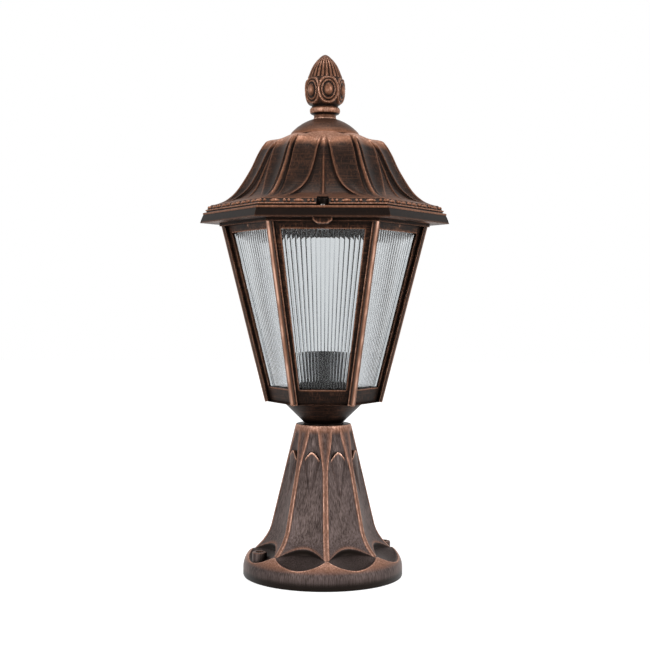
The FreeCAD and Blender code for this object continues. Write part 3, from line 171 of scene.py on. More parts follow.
def antique_copper(name, streaks, film_colour, cover, edge_gain=1.0, sheen=0.3, cross_streaks=None,
                   contrast=(0.25, 0.75), climb=None, rubbed_spot=None):
    """Dark paint with copper brushed over its edges and, in streaks, over its faces.

    The mesh's own value adds copper wear where it is positive and painted shade where it is negative.
    Streaks may run two ways. Contrast is the span of streak values that bares the film, and climb the two
    levels between which the film grows. The edges round a rubbed spot are bare. Recesses found by occlusion
    keep the film off, as the brush misses them, and are darkened further with painted shade.
    """
    tree = material_tree(name)
    streak = tree.noise(streaks, roughness=STREAK_ROUGHNESS)
    blotch = tree.noise(BLOTCH_SCALE)
    grain = tree.noise(GRAIN_SCALE, detail=1.0)
    open_air = tree.add("ShaderNodeAmbientOcclusion", {"Distance": RECESS_REACH},
                        samples=OCCLUSION_SAMPLES).outputs["AO"]
    near = tree.add("ShaderNodeAmbientOcclusion", {"Distance": EDGE_REACH}, samples=OCCLUSION_SAMPLES,
                    inside=True, only_local=True).outputs["AO"]
    # The mesh's value: copper wear where positive, painted shade where negative
    wear_and_shade = tree.add("ShaderNodeAttribute", attribute_name="wear_and_shade").outputs["Fac"]
    bare = tree.math("MULTIPLY", tree.span(tree.math("SUBTRACT", 1.0, near), *EDGE_SPAN), edge_gain)
    if rubbed_spot:
        gap = tree.measure("DISTANCE", tree.place(), rubbed_spot)
        wear_and_shade = tree.math("ADD", wear_and_shade, tree.math("MULTIPLY", bare, tree.span(gap, *SPOT_SPAN)), clamp=True)
    edge = tree.math("MAXIMUM", bare, wear_and_shade)
    # Low in recesses found by occlusion and where the mesh value is negative: the film stays off there and
    # painted shade goes on
    recess = tree.math("ADD", tree.span(open_air, *OPEN_SPAN), wear_and_shade, clamp=True)
    line = tree.math("MULTIPLY", edge, tree.span(streak, *NOISE_SPAN, *STROKE_LEVELS), clamp=True)
    brushed = streak
    if cross_streaks:
        brushed = tree.math("MAXIMUM", streak, tree.noise(cross_streaks, roughness=STREAK_ROUGHNESS))
    touch = tree.math("ADD", tree.math("MULTIPLY", brushed, STREAK_SHARE),
                      tree.math("MULTIPLY", blotch, BLOTCH_SHARE))
    film = tree.math("MULTIPLY", tree.span(touch, *contrast), cover)
    if climb:
        height = tree.add("ShaderNodeSeparateXYZ", {0: tree.place()}).outputs["Z"]
        film = tree.math("MULTIPLY", film, tree.span(height, *climb, *CLIMB_LEVELS))
    film = tree.math("MULTIPLY", film, recess, clamp=True)
    paint_colour = tree.mix(tree.span(grain, *NOISE_SPAN), DARK, MID)
    rubbed = tree.mix(tree.span(line, *BRIGHT_SPAN), RUBBED, EDGE)
    colour = tree.mix(line, tree.mix(film, paint_colour, film_colour), rubbed)
    # Painted shade: recesses and creases darkened towards near black
    colour = tree.mix(recess, PAINTED_SHADE, colour)
    wear = tree.math("MAXIMUM", line, film)
    shader = tree.add("ShaderNodeBsdfPrincipled", {
        "Base Color": colour,
        "Metallic": tree.math("MULTIPLY", wear, WORN_METALLIC),
        "Roughness": tree.math("SUBTRACT", PAINT_ROUGHNESS, tree.math("MULTIPLY", wear, WORN_SMOOTHING)),
        "Specular IOR Level": sheen,
        "Specular Tint": SHEEN})
    return tree.finish(shader.outputs[0])


def plain(name, colour, metallic=0.0, roughness=0.5, sheen=0.5):
    tree = material_tree(name)
    shader = tree.add("ShaderNodeBsdfPrincipled", {
        "Base Color": colour, "Metallic": metallic, "Roughness": roughness, "Specular IOR Level": sheen})
    return tree.finish(shader.outputs[0])


def clear_glass(name, angle):
    """Glass that bends the view through its near pane and lets light straight through beyond it.

    The angle is that of the pane round the axis. The flanks of its ribs, which lean sideways, get painted
    shade:
    a darker colour than the crests.
    """
    tree = material_tree(name)
    sideways = (-math.sin(angle), math.cos(angle), 0)
    lean = tree.measure("DOT_PRODUCT", tree.add("ShaderNodeTexCoord").outputs["Normal"], sideways)
    # Painted shade: the more a rib's face leans sideways, the darker its glass colour
    flank = tree.span(tree.math("ABSOLUTE", lean), *RIB_LEAN)
    glass = tree.add("ShaderNodeBsdfPrincipled", {
        "Base Color": tree.mix(flank, RIB_CREST, RIB_FLANK_SHADE), "Roughness": 0.0, "IOR": GLASS_INDEX,
        "Transmission Weight": 1.0})
    through = tree.add("ShaderNodeBsdfTransparent", {"Color": GLASS_BEYOND})
    path = tree.add("ShaderNodeLightPath")
    beyond = tree.math("GREATER_THAN", path.outputs["Transmission Depth"], 1.5)
    straight = tree.math("MAXIMUM", path.outputs["Is Shadow Ray"], beyond)
    mixed = tree.add("ShaderNodeMixShader", {0: straight, 1: glass.outputs[0], 2: through.outputs[0]})
    return tree.finish(mixed.outputs[0])


def white_stage(name):
    """Pale floor that is seen as the white background and keeps a faint shadow."""
    tree = material_tree(name)
    pale = tree.add("ShaderNodeBsdfDiffuse", {"Color": FLOOR_GREY})
    distance = tree.measure("LENGTH", tree.place())
    level = tree.span(distance, *SHADE_REACH, *SHADE_LEVELS)
    strength = tree.math("MULTIPLY", tree.background_rays(), level)
    lift = tree.add("ShaderNodeEmission", {"Color": WHITE, "Strength": strength})
    lit = tree.add("ShaderNodeAddShader", {0: pale.outputs[0], 1: lift.outputs[0]})
    return tree.finish(lit.outputs[0])


def paint(material, *names):
    for name in names:
        mesh = nodes[name].data
        mesh.materials.clear()
        mesh.materials.append(material)


frame_copper = antique_copper(
    "frame_copper", streaks=(900, 900, 40), film_colour=COPPER_FILM, cover=0.55, edge_gain=0.75, sheen=0.06,
    cross_streaks=(60, 60, 900), contrast=(0.47, 0.7), climb=(0.2, 0.34), rubbed_spot=CATCH_LUG)
roof_copper = antique_copper(
    "roof_copper", streaks=(700, 700, 30), film_colour=COPPER_FILM, cover=0.26, edge_gain=0.6, sheen=0.08,
    cross_streaks=(40, 40, 1200), contrast=(0.44, 0.76))
finial_copper = antique_copper(
    "finial_copper", streaks=(500, 500, 200), film_colour=COPPER_FILM, cover=0.1, sheen=0.12)
pedestal_copper = antique_copper(
    "pedestal_copper", streaks=(1100, 1100, 10), film_colour=BROWN_FILM, cover=0.55, sheen=0.14,
    contrast=(0.22, 0.82))
bead_copper = antique_copper("bead_copper", streaks=(150, 150, 20), film_colour=COPPER_FILM, cover=0.1)
dull_zinc = plain("dull_zinc", (0.2, 0.2, 0.2, 1), metallic=1.0, roughness=0.55)
zinc = plain("zinc", (0.55, 0.55, 0.55, 1), metallic=1.0, roughness=0.35)
dark_steel = plain("dark_steel", (0.14, 0.12, 0.11, 1), metallic=1.0, roughness=0.25)
black_plastic = plain("black_plastic", (0.006, 0.006, 0.006, 1), roughness=0.4, sheen=0.15)
white_ceramic = plain("white_ceramic", (0.75, 0.74, 0.7, 1), roughness=0.4)
brass = plain("brass", (0.7, 0.52, 0.2, 1), metallic=1.0, roughness=0.3)

paint(frame_copper, "lantern_frame")
for index in range(1, SIDES + 1):
    pane = f"glass_pane_{index}"
    middle = sum((vertex.co for vertex in nodes[pane].data.vertices), Vector())
    paint(clear_glass(f"ribbed_glass_{index}", math.atan2(middle.y, middle.x)), pane)
paint(dull_zinc, "pane_clips", "pane_clip_screws")
paint(zinc, "hinge_pin", "lower_washer", "lower_nut", "upper_washer", "upper_nut", "threaded_tube",
      "terminal_screw", "finial_stud", "finial_washer", "finial_nut")
paint(dark_steel, "lock_screw")
paint(black_plastic, "holder_cap", "holder_skirt")
paint(white_ceramic, "holder_insert", "terminal_block")
paint(brass, "screw_shell", "centre_contact", "clamp_screws", "earth_screw", "earth_washer")


def smoothstep(low, high, value):
    """Value from low to high, as 0 to 1 with soft ends."""
    share = min(1, max(0, (value - low) / (high - low)))
    return share * share * (3 - 2 * share)


def ridge(place, middle, half_span):
    """Round ridge of height 1 across its middle."""
    share = abs(place - middle) / half_span
    return math.cos(math.pi / 2 * share) if share < 1 else 0


# Per point: copper wear where positive, painted shade where negative
def set_wear_and_shade(mesh, wear_and_shade):
    mesh.attributes.new("wear_and_shade", "FLOAT", "POINT").data.foreach_set("value", wear_and_shade)


def add_piece(name, mesh, body):
    """New copper piece that rides on a body."""
    piece = bpy.data.objects.new(name, mesh)
    bpy.context.scene.collection.objects.link(piece)
    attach(piece, body)
    return piece


def mesh_piece(name, vertices, faces, body, material, sharp=35, wear_and_shade=None):
    """New smooth copper piece from places in millimetres, with edges sharp from an angle in degrees."""
    mesh = bpy.data.meshes.new(name)
    mesh.from_pydata((np.asarray(vertices) * MILLIMETRE).tolist(), [], faces)
    mesh.polygons.foreach_set("use_smooth", [True] * len(mesh.polygons))
    mesh.set_sharp_from_angle(angle=math.radians(sharp))
    mesh.materials.append(material)
    if wear_and_shade is not None:
        set_wear_and_shade(mesh, wear_and_shade)
    return add_piece(name, mesh, body)


def wrapped_faces(columns, rows, first=0):
    """Faces of a closed ring of columns."""
    faces = []
    for column in range(columns):
        after = (column + 1) % columns
        for row in range(rows - 1):
            low = first + column * rows + row
            beside = first + after * rows + row
            faces.append((low, beside, beside + 1, low + 1))
    return faces


def open_faces(rows, columns, first):
    """Faces of an open grid of rows."""
    faces = []
    for row in range(rows - 1):
        for column in range(columns - 1):
            corner = first + row * columns + column
            faces.append((corner, corner + columns, corner + columns + 1, corner + 1))
    return faces


def turned_profile(profile, count):
    """Places of a profile of (reach, height), turned round the axis in equal steps."""
    places = []
    for index in range(count):
        angle = 2 * math.pi * index / count
        places += [(reach * math.cos(angle), reach * math.sin(angle), height) for reach, height in profile]
    return places


# Pedestal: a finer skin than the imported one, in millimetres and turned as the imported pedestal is
FLANKS = 8
FLANK_HALF_STEP = math.pi / FLANKS
PEDESTAL_TURN = math.radians(26.7)
PEDESTAL_TOP = 142.5
FLANK_FOOT = 26
STRIP_COLUMNS = [12, 8, 3, 5]
# Share of the half flank that a sunk panel's sloping border takes
BORDER_SHARE = 0.06
# Level between hood and top where the tongue ends in its arch, and the arch's rise and lower end
ARCH_LEVEL = 0.735
ARCH_RISE = 7.2
ARCH_START = 88
TONGUE_TIP = 77
TONGUE_SHOULDER = 115.5
TONGUE_HALF_WIDTH = 8.2
TONGUE_PROUD = 2.9
ROWS_BELOW_ARCH = 62
ROWS_ABOVE_ARCH = 34
RIM_CENTRE_REACH = 55.4
RIM_CENTRE_HEIGHT = 8
RIM_RADIUS = 21.1
RIM_ROWS = 16
POCKET_DEPTH = 4.4
POCKET_ROWS = 30
# Reach, height and a value of the foot's lower edge and of the edge round the top: copper wear where
# positive, painted shade where negative (under the foot and down into the top opening)
FOOT_EDGE = [(59, 0, -0.8), (75, 0, -0.8), (76, 0.4, -0.8), (76.5, 1.5, -0.8)]
TOP_EDGE = [
    (26.6, 144.6, 0.8), (26.2, 145.3, 0.8), (25.5, 145.5, 0.3), (19.5, 145.5, -0.3), (19.5, 141.5, -0.8)]
HOLLOW_PROFILE = [
    (59, 0), (59, 8), (45, 24), (38, 60), (24, 134.5), (5.25, 134.5), (5.25, 141.5), (19.5, 141.5)]
HOLLOW_COLUMNS = 96
TUBE_COLUMNS = 40


def flank_reach(height):
    """Distance of a flank's middle from the axis."""
    heights = [26, 30, 34, 38, 42, 46, 50, 114, 142.5]
    reaches = [60.5, 56.6, 53.4, 50.9, 48.9, 47.4, 46.2, 32.2, 27.2]
    return np.interp(height, heights, reaches)


def ridge_reach(height):
    """Distance of a ridge from the axis."""
    heights = [25.5, 30, 34, 38, 43, 48, 145.5]
    reaches = [65.4, 60.9, 57.3, 54.4, 51.6, 49.8, 26.5]
    return np.interp(height, heights, reaches)


def rim_reach(height):
    """Distance of the foot's round rim from the axis."""
    return RIM_CENTRE_REACH + math.sqrt(RIM_RADIUS ** 2 - (height - RIM_CENTRE_HEIGHT) ** 2)


def half_width(height):
    """Half width of a flank."""
    return flank_reach(height) * math.tan(FLANK_HALF_STEP)


def land_edge(height):
    """Share of the half flank where the ridge's raised land starts."""
    land = 2.1 + 4.6 * smoothstep(100, 140, height)
    return 1 - land / half_width(height)


def flank_shares(height):
    """Shares of the half flank, from 0 in its middle to 1 on the ridge."""
    edge = land_edge(height)
    tongue = min(0.55, edge - 0.16)
    knots = [0, tongue, edge - BORDER_SHARE, edge, 1]
    shares = []
    for strip, columns in enumerate(STRIP_COLUMNS):
        shares += list(knots[strip] + (knots[strip + 1] - knots[strip]) * np.arange(columns) / columns)
    return shares + [1]


def tongue_relief(across, height, edge):
    """Height of the spear tongue over the flank, below its arched edge."""
    if height > edge or height < TONGUE_TIP:
        return 0
    grown = (height - TONGUE_TIP) / (TONGUE_SHOULDER - TONGUE_TIP)
    width = TONGUE_HALF_WIDTH * min(1, grown) ** 0.85
    if abs(across) >= width:
        return 0
    return TONGUE_PROUD * grown ** 0.8 * math.sqrt(1 - (across / width) ** 2)


def flank_point(share, height, arch_height):
    """Reach and wear of the flank at a share of its half width."""
    hull = min(ridge_reach(height), flank_reach(height) / math.cos(share * FLANK_HALF_STEP))
    edge = land_edge(height)
    flat = smoothstep(FLANK_FOOT, 36, height) * (1 - smoothstep(136, 143, height))
    inside = smoothstep(edge, edge - BORDER_SHARE, share)
    sink = flat * inside * (0.7 + 1.3 * max(0, 1 - (share / edge) ** 2))
    upper = smoothstep(95, 125, height)
    fade = (0.45 + 0.45 * upper) * smoothstep(edge, 1, share)
    wear_and_shade = 0.8 * smoothstep(edge - 0.05, edge, share) * (1 - fade) * (1 - 0.3 * upper)
    proud = tongue_relief(half_width(height) * share, height, arch_height)
    if proud > 0:
        wear_and_shade = max(wear_and_shade, 0.85 * smoothstep(arch_height - 2.4, arch_height - 1, height))
    wear_and_shade = max(wear_and_shade, 0.6 * smoothstep(136, 142, height))
    return hull - sink + proud, wear_and_shade


def foot_rows(share):
    """Points (reach, height, value) of the foot and its pocket on one upright line, and the hood's height.

    The value is copper wear where positive and painted shade where negative: the rim darkens towards its
    bottom, and the pocket and the underside of its hood are darkened.
    """
    corner = min(1, share / 0.95)
    lip = 17.5 + 8.0 * corner ** 1.8
    hood = 34.0 - 8.5 * corner ** 2.2
    points = list(FOOT_EDGE)
    for height in np.linspace(RIM_CENTRE_HEIGHT, lip, RIM_ROWS):
        # Copper wear grows towards the lip; lower down, painted shade darkens the rim towards its bottom
        wear_and_shade = 1.5 * smoothstep(6, 22, height) - 0.85
        wear_and_shade = max(wear_and_shade, 0.85 * smoothstep(lip - 1.5, lip, height))
        points.append((rim_reach(height), height, wear_and_shade))
    lip_reach = rim_reach(lip)
    hood_reach = flank_point(share, hood, 0)[0]
    depth = POCKET_DEPTH * (1 - corner ** 2)
    for step in np.linspace(0, 1, POCKET_ROWS)[1:-1]:
        bow = depth * smoothstep(0, 0.16, step) * (1 + 0.3 * step) * (1 - smoothstep(0.86, 1, step))
        # Painted shade in the pocket, deepest under the hood
        shade = 0.3 * min(1, bow / 3) + 0.7 * ridge(step, 0.92, 0.08) * (1 - corner ** 4)
        points.append((lip_reach + (hood_reach - lip_reach) * step - 0.62 * bow,
                       lip + (hood - lip) * step - 0.78 * bow, -shade))
    return points, hood


def flank_rows(share_at, hood):
    """Points (share, reach, height, wear) of one upright line of a flank from the hood to the top."""
    levels = np.concatenate([np.linspace(0, ARCH_LEVEL - 0.005, ROWS_BELOW_ARCH),
                             [ARCH_LEVEL, ARCH_LEVEL + 0.0001],
                             np.linspace(ARCH_LEVEL + 0.01, 1, ROWS_ABOVE_ARCH)])
    shoulder = hood + (PEDESTAL_TOP - hood) * ARCH_LEVEL
    points = []
    for level in levels:
        height = hood + (PEDESTAL_TOP - hood) * level
        share = share_at(height)
        across = half_width(shoulder) * share
        arch = ARCH_RISE * max(0, 1 - (across / TONGUE_HALF_WIDTH) ** 1.5)
        below = max(0, (height - ARCH_START) / (shoulder - ARCH_START))
        above = (PEDESTAL_TOP - height) / (PEDESTAL_TOP - shoulder)
        height += arch * max(0, min(1, below, above))
        reach, wear_and_shade = flank_point(share, height, shoulder + arch + 0.005)
        wear_and_shade = max(wear_and_shade, 0.5 * smoothstep(0.02, 0, level) * (1 - share ** 4))
        points.append((share, reach, height, wear_and_shade))
    return points


def pedestal_columns():
    """Upright lines of half a flank, from its middle to the ridge: (share, reach, height, wear), with
    painted shade as negative wear.
    """
    lines = []
    for index, share in enumerate(flank_shares(FLANK_FOOT)):
        foot, hood = foot_rows(share)
        line = [(share, *point) for point in foot]
        line += flank_rows(lambda height: flank_shares(height)[index], hood)
        line += [(share, *point) for point in TOP_EDGE]
        lines.append(line)
    return lines


def pedestal_skin(material):
    """Pedestal with its outer skin and its plain hollow."""
    half = pedestal_columns()
    mirrored = [[(-share, *rest) for share, *rest in line] for line in half[:0:-1]]
    flank = mirrored + half[:-1]
    vertices = []
    wear_and_shade = []
    for side in range(FLANKS):
        middle = PEDESTAL_TURN + 2 * FLANK_HALF_STEP * side
        for line in flank:
            # Each wear is copper wear where positive and painted shade where negative
            for share, reach, height, wear in line:
                angle = middle + share * FLANK_HALF_STEP
                vertices.append((reach * math.cos(angle), reach * math.sin(angle), height))
                wear_and_shade.append(wear)
    faces = wrapped_faces(len(flank) * FLANKS, len(flank[0]))
    inner = turned_profile(HOLLOW_PROFILE, HOLLOW_COLUMNS)
    inner_faces = wrapped_faces(HOLLOW_COLUMNS, len(HOLLOW_PROFILE), len(vertices))
    faces += [face[::-1] for face in inner_faces]
    piece = mesh_piece("pedestal_skin", vertices + inner, faces, "lantern", material,
                       wear_and_shade=wear_and_shade + [0] * len(inner))
    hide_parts("pedestal")


def tube(name, place, outer, inner, low, high, material):
    """Upright tube with a rounded upper rim."""
    profile = [
        (inner, low), (outer, low), (outer, high - 1.2), (outer - 0.4, high - 0.3), (outer - 1.2, high),
        (inner + 0.4, high), (inner, high - 0.6), (inner, low)]
    vertices = [(x + place[0], y + place[1], z) for x, y, z in turned_profile(profile, TUBE_COLUMNS)]
    mesh_piece(name, vertices, wrapped_faces(TUBE_COLUMNS, len(profile)), "lantern", material)


def turned_place(across, along):
    """Place in the pedestal's own axes as a place in the row frame."""
    sine, cosine = math.sin(PEDESTAL_TURN), math.cos(PEDESTAL_TURN)
    return across * cosine - along * sine, across * sine + along * cosine


pedestal_skin(pedestal_copper)
for name, across in (("screw_lug_right", 66), ("screw_lug_left", -66)):
    tube(name, turned_place(across, 0), outer=7, inner=3.75, low=4, high=27, material=pedestal_copper)
tube("terminal_boss", turned_place(4.25, 15), outer=4, inner=1.7, low=112.5, high=135,
     material=pedestal_copper)
tube("earth_boss", turned_place(0, -15), outer=4, inner=1.7, low=126, high=135, material=pedestal_copper)

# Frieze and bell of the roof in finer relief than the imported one, in millimetres
BELL_FOOT = 354.4
BELL_TOP = 418.8
BELL_ROWS = 120
CAP_RADIUS = 34.9
NOTCH_HALF = 5.35
NOTCH_LOW = 347.2
NOTCH_HIGH = 356.0
# The notch lies in front of this
NOTCH_BACK = -80
CURVE_STEPS = 40
# Hip reach, height and wear of the bead and the frieze; negative wear is painted shade in the grooves and on
# the slope
FRIEZE_ROWS = [
    (115.2, 344.6, 0), (116.3, 345.0, 0.2), (116.8, 345.6, 0.45), (116.9, 346.2, 0.5), (116.6, 346.8, 0.45),
    (115.6, 347.2, 0.15), (113.5, 347.2, -0.6), (113.3, 347.6, -0.7), (113.3, 348.4, -0.6),
    (114.0, 348.6, 0.4), (114.3, 349.0, 0.65), (114.3, 349.5, 0.65), (113.9, 349.9, 0.3),
    (112.9, 350.0, -0.6), (111.9, 351.0, -0.6), (110.9, 352.0, -0.6), (109.9, 353.0, -0.6),
    (109.2, 353.7, -0.5), (109.3, 354.1, 0.4), (108.7, 354.5, 0.5)]
# Hip reach and height, face reach and height; the first and last only give the slope
BELL_STATIONS = [
    (112, 353.2, 97, 353.2), (107.9, 354.4, 93.4, 354.4), (100.6, 356.4, 87.2, 356.4),
    (92.4, 360.6, 80.4, 360.6), (83.2, 369.6, 73.1, 369.6), (71.6, 387.8, 64.8, 387.6),
    (64.2, 403.2, 59.0, 401.8), (58.2, 412.8, 53.8, 409.6), (53.0, 416.6, 48.6, 413.8),
    (37.0, 418.8, 36.6, 419.8), (33.0, 419.6, 33.0, 421.4), (30, 420, 30, 422.4)]
# Columns in each strip of a half face, from its middle to the hip
SEGMENT_COLUMNS = [4, 8, 5, 5, 14, 6, 6]
# Frieze ornament: its bed, the slope it lies on, and the grid of one form
FRONT_SIDE = 4
ORNAMENT_PITCH = 10.6
ORNAMENT_WEAR = 0.65
BERRY_OFFSET = 1.9
BED_REACH = 111.0
BED_HEIGHT = 351.85
SLOPE_RISE = 0.755
SLOPE_RUN = 0.656
LENS_ROWS = 13
LENS_COLUMNS = 9


def smooth_curve(places, count):
    """Curve of even steps through all places but the first and the last."""
    places = np.array(places, float)
    curve = []
    for before, start, end, after in zip(places, places[1:], places[2:], places[3:]):
        for step in np.linspace(0, 1, CURVE_STEPS, endpoint=False):
            curve.append(0.5 * (2 * start + (end - before) * step
                                + (2 * before - 5 * start + 4 * end - after) * step ** 2
                                + (3 * start - before - 3 * end + after) * step ** 3))
    curve = np.array(curve + [places[-2]])
    lengths = np.concatenate([[0], np.cumsum(np.hypot(*np.diff(curve[:, :2], axis=0).T))])
    evenly = np.linspace(0, lengths[-1], count)
    return np.stack([np.interp(evenly, lengths, values) for values in curve.T], axis=1)


def petal_edge(level):
    """Share of the half face where a petal overlaps the middle leaf, from the foot (0) to the top (1)."""
    fall = 1 - level
    return 0.12 + 0.25 * fall + 0.4 * fall ** 6


def petal_relief(segment, step, leaf):
    """Depth under the hull and wear at a step of one strip of the half face; negative wear is painted shade
    in the folds and under the petals' edges.
    """
    half_wave = math.sin(math.pi * step)
    rise = math.sin(math.pi / 2 * step)
    # Negative values: painted shade in the folds and under the overlapping petals' edges
    strips = [
        (2.2 - 1.4 * leaf * (1 - step ** 2), 0.4 * leaf * (1 - step)),
        (2.2 + 1.0 * step, 0),
        (3.2 - 3.4 * step ** 2, 0.25 * step ** 3 - 0.45 * (1 - step)),
        (-0.2 - 0.3 * half_wave + 1.0 * step, 0.25 * (1 - step)),
        (0.8 + 2.2 * half_wave, -0.2 * half_wave),
        (0.8 + 1.9 * rise, -0.45 * rise),
        (2.7 - 2.9 * rise, 0.95 * rise - 0.45)]
    return strips[segment]


def petal_line(level):
    """Half a face of the bell at a level: (share, depth under the hull, wear) from the middle to the hip;
    negative wear is painted shade.
    """
    edge = petal_edge(level)
    fade = min(1, level / 0.09) * min(1, max(0, (1 - level) / 0.05))
    leaf = max(0, min(1, (0.78 - level) / 0.3))
    rubbed = 0.75 * smoothstep(0.78, 0.95, level) + 0.2 * smoothstep(0.15, 0.02, level)
    notch = NOTCH_HALF / 54 * smoothstep(0.06, 0.03, level)
    knots = [0, max(0.035, notch), edge - 0.06, edge, edge + 0.07, 0.84, 0.92, 1]
    line = []
    for segment, columns in enumerate(SEGMENT_COLUMNS):
        for step in np.arange(columns + (segment == len(SEGMENT_COLUMNS) - 1)) / columns:
            share = knots[segment] + (knots[segment + 1] - knots[segment]) * step
            sink, wear_and_shade = petal_relief(segment, step, leaf)
            wear_and_shade = max(wear_and_shade * fade, rubbed) if wear_and_shade >= 0 else wear_and_shade * fade + rubbed
            line.append((share, sink * fade, wear_and_shade))
    return line


def roof_point(side, share, reach, height):
    """Place on a side of the roof at a share of its half width, by its distance from the axis."""
    angle = (2 * side + 1) * HALF_STEP + math.atan(share * math.tan(HALF_STEP))
    return reach * math.cos(angle), reach * math.sin(angle), height


def whole_face(half):
    """Both halves of a face from one, without the second hip."""
    return [(-share, sink, wear_and_shade) for share, sink, wear_and_shade in half[:0:-1]] + half[:-1]


def frieze_rows():
    """Rows of the eave's bead and the frieze: places with their wear, negative where it is painted shade."""
    face = whole_face(petal_line(0))
    rows = []
    for hip_reach, height, wear_and_shade in FRIEZE_ROWS:
        row = []
        for side in range(SIDES):
            for share, _, _ in face:
                reach = hip_reach * math.cos(HALF_STEP) / math.cos(math.atan(share * math.tan(HALF_STEP)))
                row.append((*roof_point(side, share, reach, height), wear_and_shade))
        rows.append(row)
    return rows


def bell_rows():
    """Rows of the bell from its foot to the cap: places with their wear, negative where it is painted shade.
    """
    rows = []
    for hip_reach, hip_height, face_reach, face_height in smooth_curve(BELL_STATIONS, BELL_ROWS):
        level = min(1, max(0, (hip_height - BELL_FOOT) / (BELL_TOP - BELL_FOOT)))
        face = whole_face(petal_line(level))
        swell = hip_reach - face_reach / math.cos(HALF_STEP)
        row = []
        for side in range(SIDES):
            for share, sink, wear_and_shade in face:
                angle = math.atan(share * math.tan(HALF_STEP))
                reach = face_reach / math.cos(angle) + swell * abs(share) ** 3 - sink
                height = face_height + (hip_height - face_height) * share ** 2
                row.append((*roof_point(side, share, reach, height), wear_and_shade))
        rows.append(row)
    return rows


def roof_skin(material):
    """Outer faces of the frieze and the bell, with the notch left open."""
    grid = np.array(frieze_rows() + bell_rows()).transpose(1, 0, 2)
    columns, count = grid.shape[:2]
    places = grid[:, :, :3].reshape(-1, 3)
    faces = []
    for face in wrapped_faces(columns, count):
        x, y, z = places[list(face)].mean(axis=0)
        if not (abs(x) < NOTCH_HALF and y < 0 and NOTCH_LOW < z < NOTCH_HIGH):
            faces.append(face)
    mesh_piece("roof_skin", places, faces, "roof", material, sharp=50, wear_and_shade=grid[:, :, 3].ravel())


def roof_casting(material):
    """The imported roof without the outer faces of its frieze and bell."""
    shape = bmesh.new()
    shape.from_mesh(nodes["roof"].data)
    outer_faces = []
    for face in shape.faces:
        centre = face.calc_center_median() / MILLIMETRE
        in_notch = abs(centre.x) <= NOTCH_HALF + 0.1 and centre.y < NOTCH_BACK
        outside = math.hypot(centre.x, centre.y) > CAP_RADIUS and face.normal.dot(centre) > 0
        if centre.z > NOTCH_LOW - 0.15 and outside and not in_notch:
            outer_faces.append(face)
    bmesh.ops.delete(shape, geom=outer_faces, context="FACES")
    mesh = nodes["roof"].data.copy()
    shape.to_mesh(mesh)
    shape.free()
    mesh.materials.clear()
    mesh.materials.append(material)
    # Painted shade over all below the bell's top, fascia, eave and hollow alike; copper wear on the cap
    # above
    wear_and_shade = []
    for vertex in mesh.vertices:
        height = vertex.co.z / MILLIMETRE
        wear_and_shade.append(0.6 - 0.5 * smoothstep(BELL_TOP, BELL_TOP + 9, height) if height > BELL_TOP else -0.7)
    set_wear_and_shade(mesh, wear_and_shade)
    piece = add_piece("roof_casting", mesh, "roof")
    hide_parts("roof")


def lens_form(length, width, proud):
    """Pointed leaf as a grid of (along, up the slope, proud of it, wear)."""
    rows = []
    for along in np.linspace(-1, 1, LENS_ROWS):
        half = width * (1 - along ** 2) ** 0.8
        row = []
        for turn in np.linspace(-math.pi / 2, math.pi / 2, LENS_COLUMNS):
            over = proud * half / width * math.cos(turn) - 0.3
            row.append((length * along, half * math.sin(turn), over, math.cos(turn)))
        rows.append(row)
    return rows


def add_form(rows, side, along, vertices, faces, wear_and_shade):
    """Put a form on the frieze's slope at a place along a side."""
    middle = (2 * side + 1) * HALF_STEP
    outwards = np.array([math.cos(middle), math.sin(middle), 0])
    sideways = np.array([-math.sin(middle), math.cos(middle), 0])
    upwards = np.array([0, 0, 1])
    up_slope = upwards * SLOPE_RISE - outwards * SLOPE_RUN
    normal = outwards * SLOPE_RISE + upwards * SLOPE_RUN
    bed = outwards * BED_REACH * math.cos(HALF_STEP) + upwards * BED_HEIGHT
    faces.extend(open_faces(len(rows), len(rows[0]), len(vertices)))
    for row in rows:
        for offset, rise, proud, wear in row:
            vertices.append(bed + sideways * (along + offset) + up_slope * rise + normal * proud)
            wear_and_shade.append(ORNAMENT_WEAR * wear)


def frieze_ornament(material):
    """Leaves and pairs of berries along the frieze; the notch takes the place of the front's middle leaf."""
    leaf = lens_form(length=5.0, width=2.0, proud=1.7)
    berry = lens_form(length=1.7, width=1.7, proud=1.9)
    vertices, faces, wear_and_shade = [], [], []
    for side in range(SIDES):
        for index in range(-5, 6):
            along = index * ORNAMENT_PITCH
            if index % 2 == 1:
                for offset in (-BERRY_OFFSET, BERRY_OFFSET):
                    add_form(berry, side, along + offset, vertices, faces, wear_and_shade)
            elif index != 0 or side != FRONT_SIDE:
                add_form(leaf, side, along, vertices, faces, wear_and_shade)
    mesh_piece("frieze_ornament", vertices, faces, "roof", material, sharp=60, wear_and_shade=wear_and_shade)


roof_skin(roof_copper)
roof_casting(roof_copper)
frieze_ornament(roof_copper)

# Finial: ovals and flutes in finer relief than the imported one, in millimetres
FINIAL_COLUMNS = 240
FINIAL_CURVE_ROWS = 56
FINIAL_PROFILE = [
    (3.1, 446), (3.1, 436.6), (11, 436.6), (10.9, 437.4), (10.5, 438.6), (10.6, 440), (11.3, 441),
    (13.2, 441.6), (14.1, 442.6), (14.5, 444.4), (14.4, 446), (13.6, 447.4), (12.5, 448.2), (12.3, 449)]
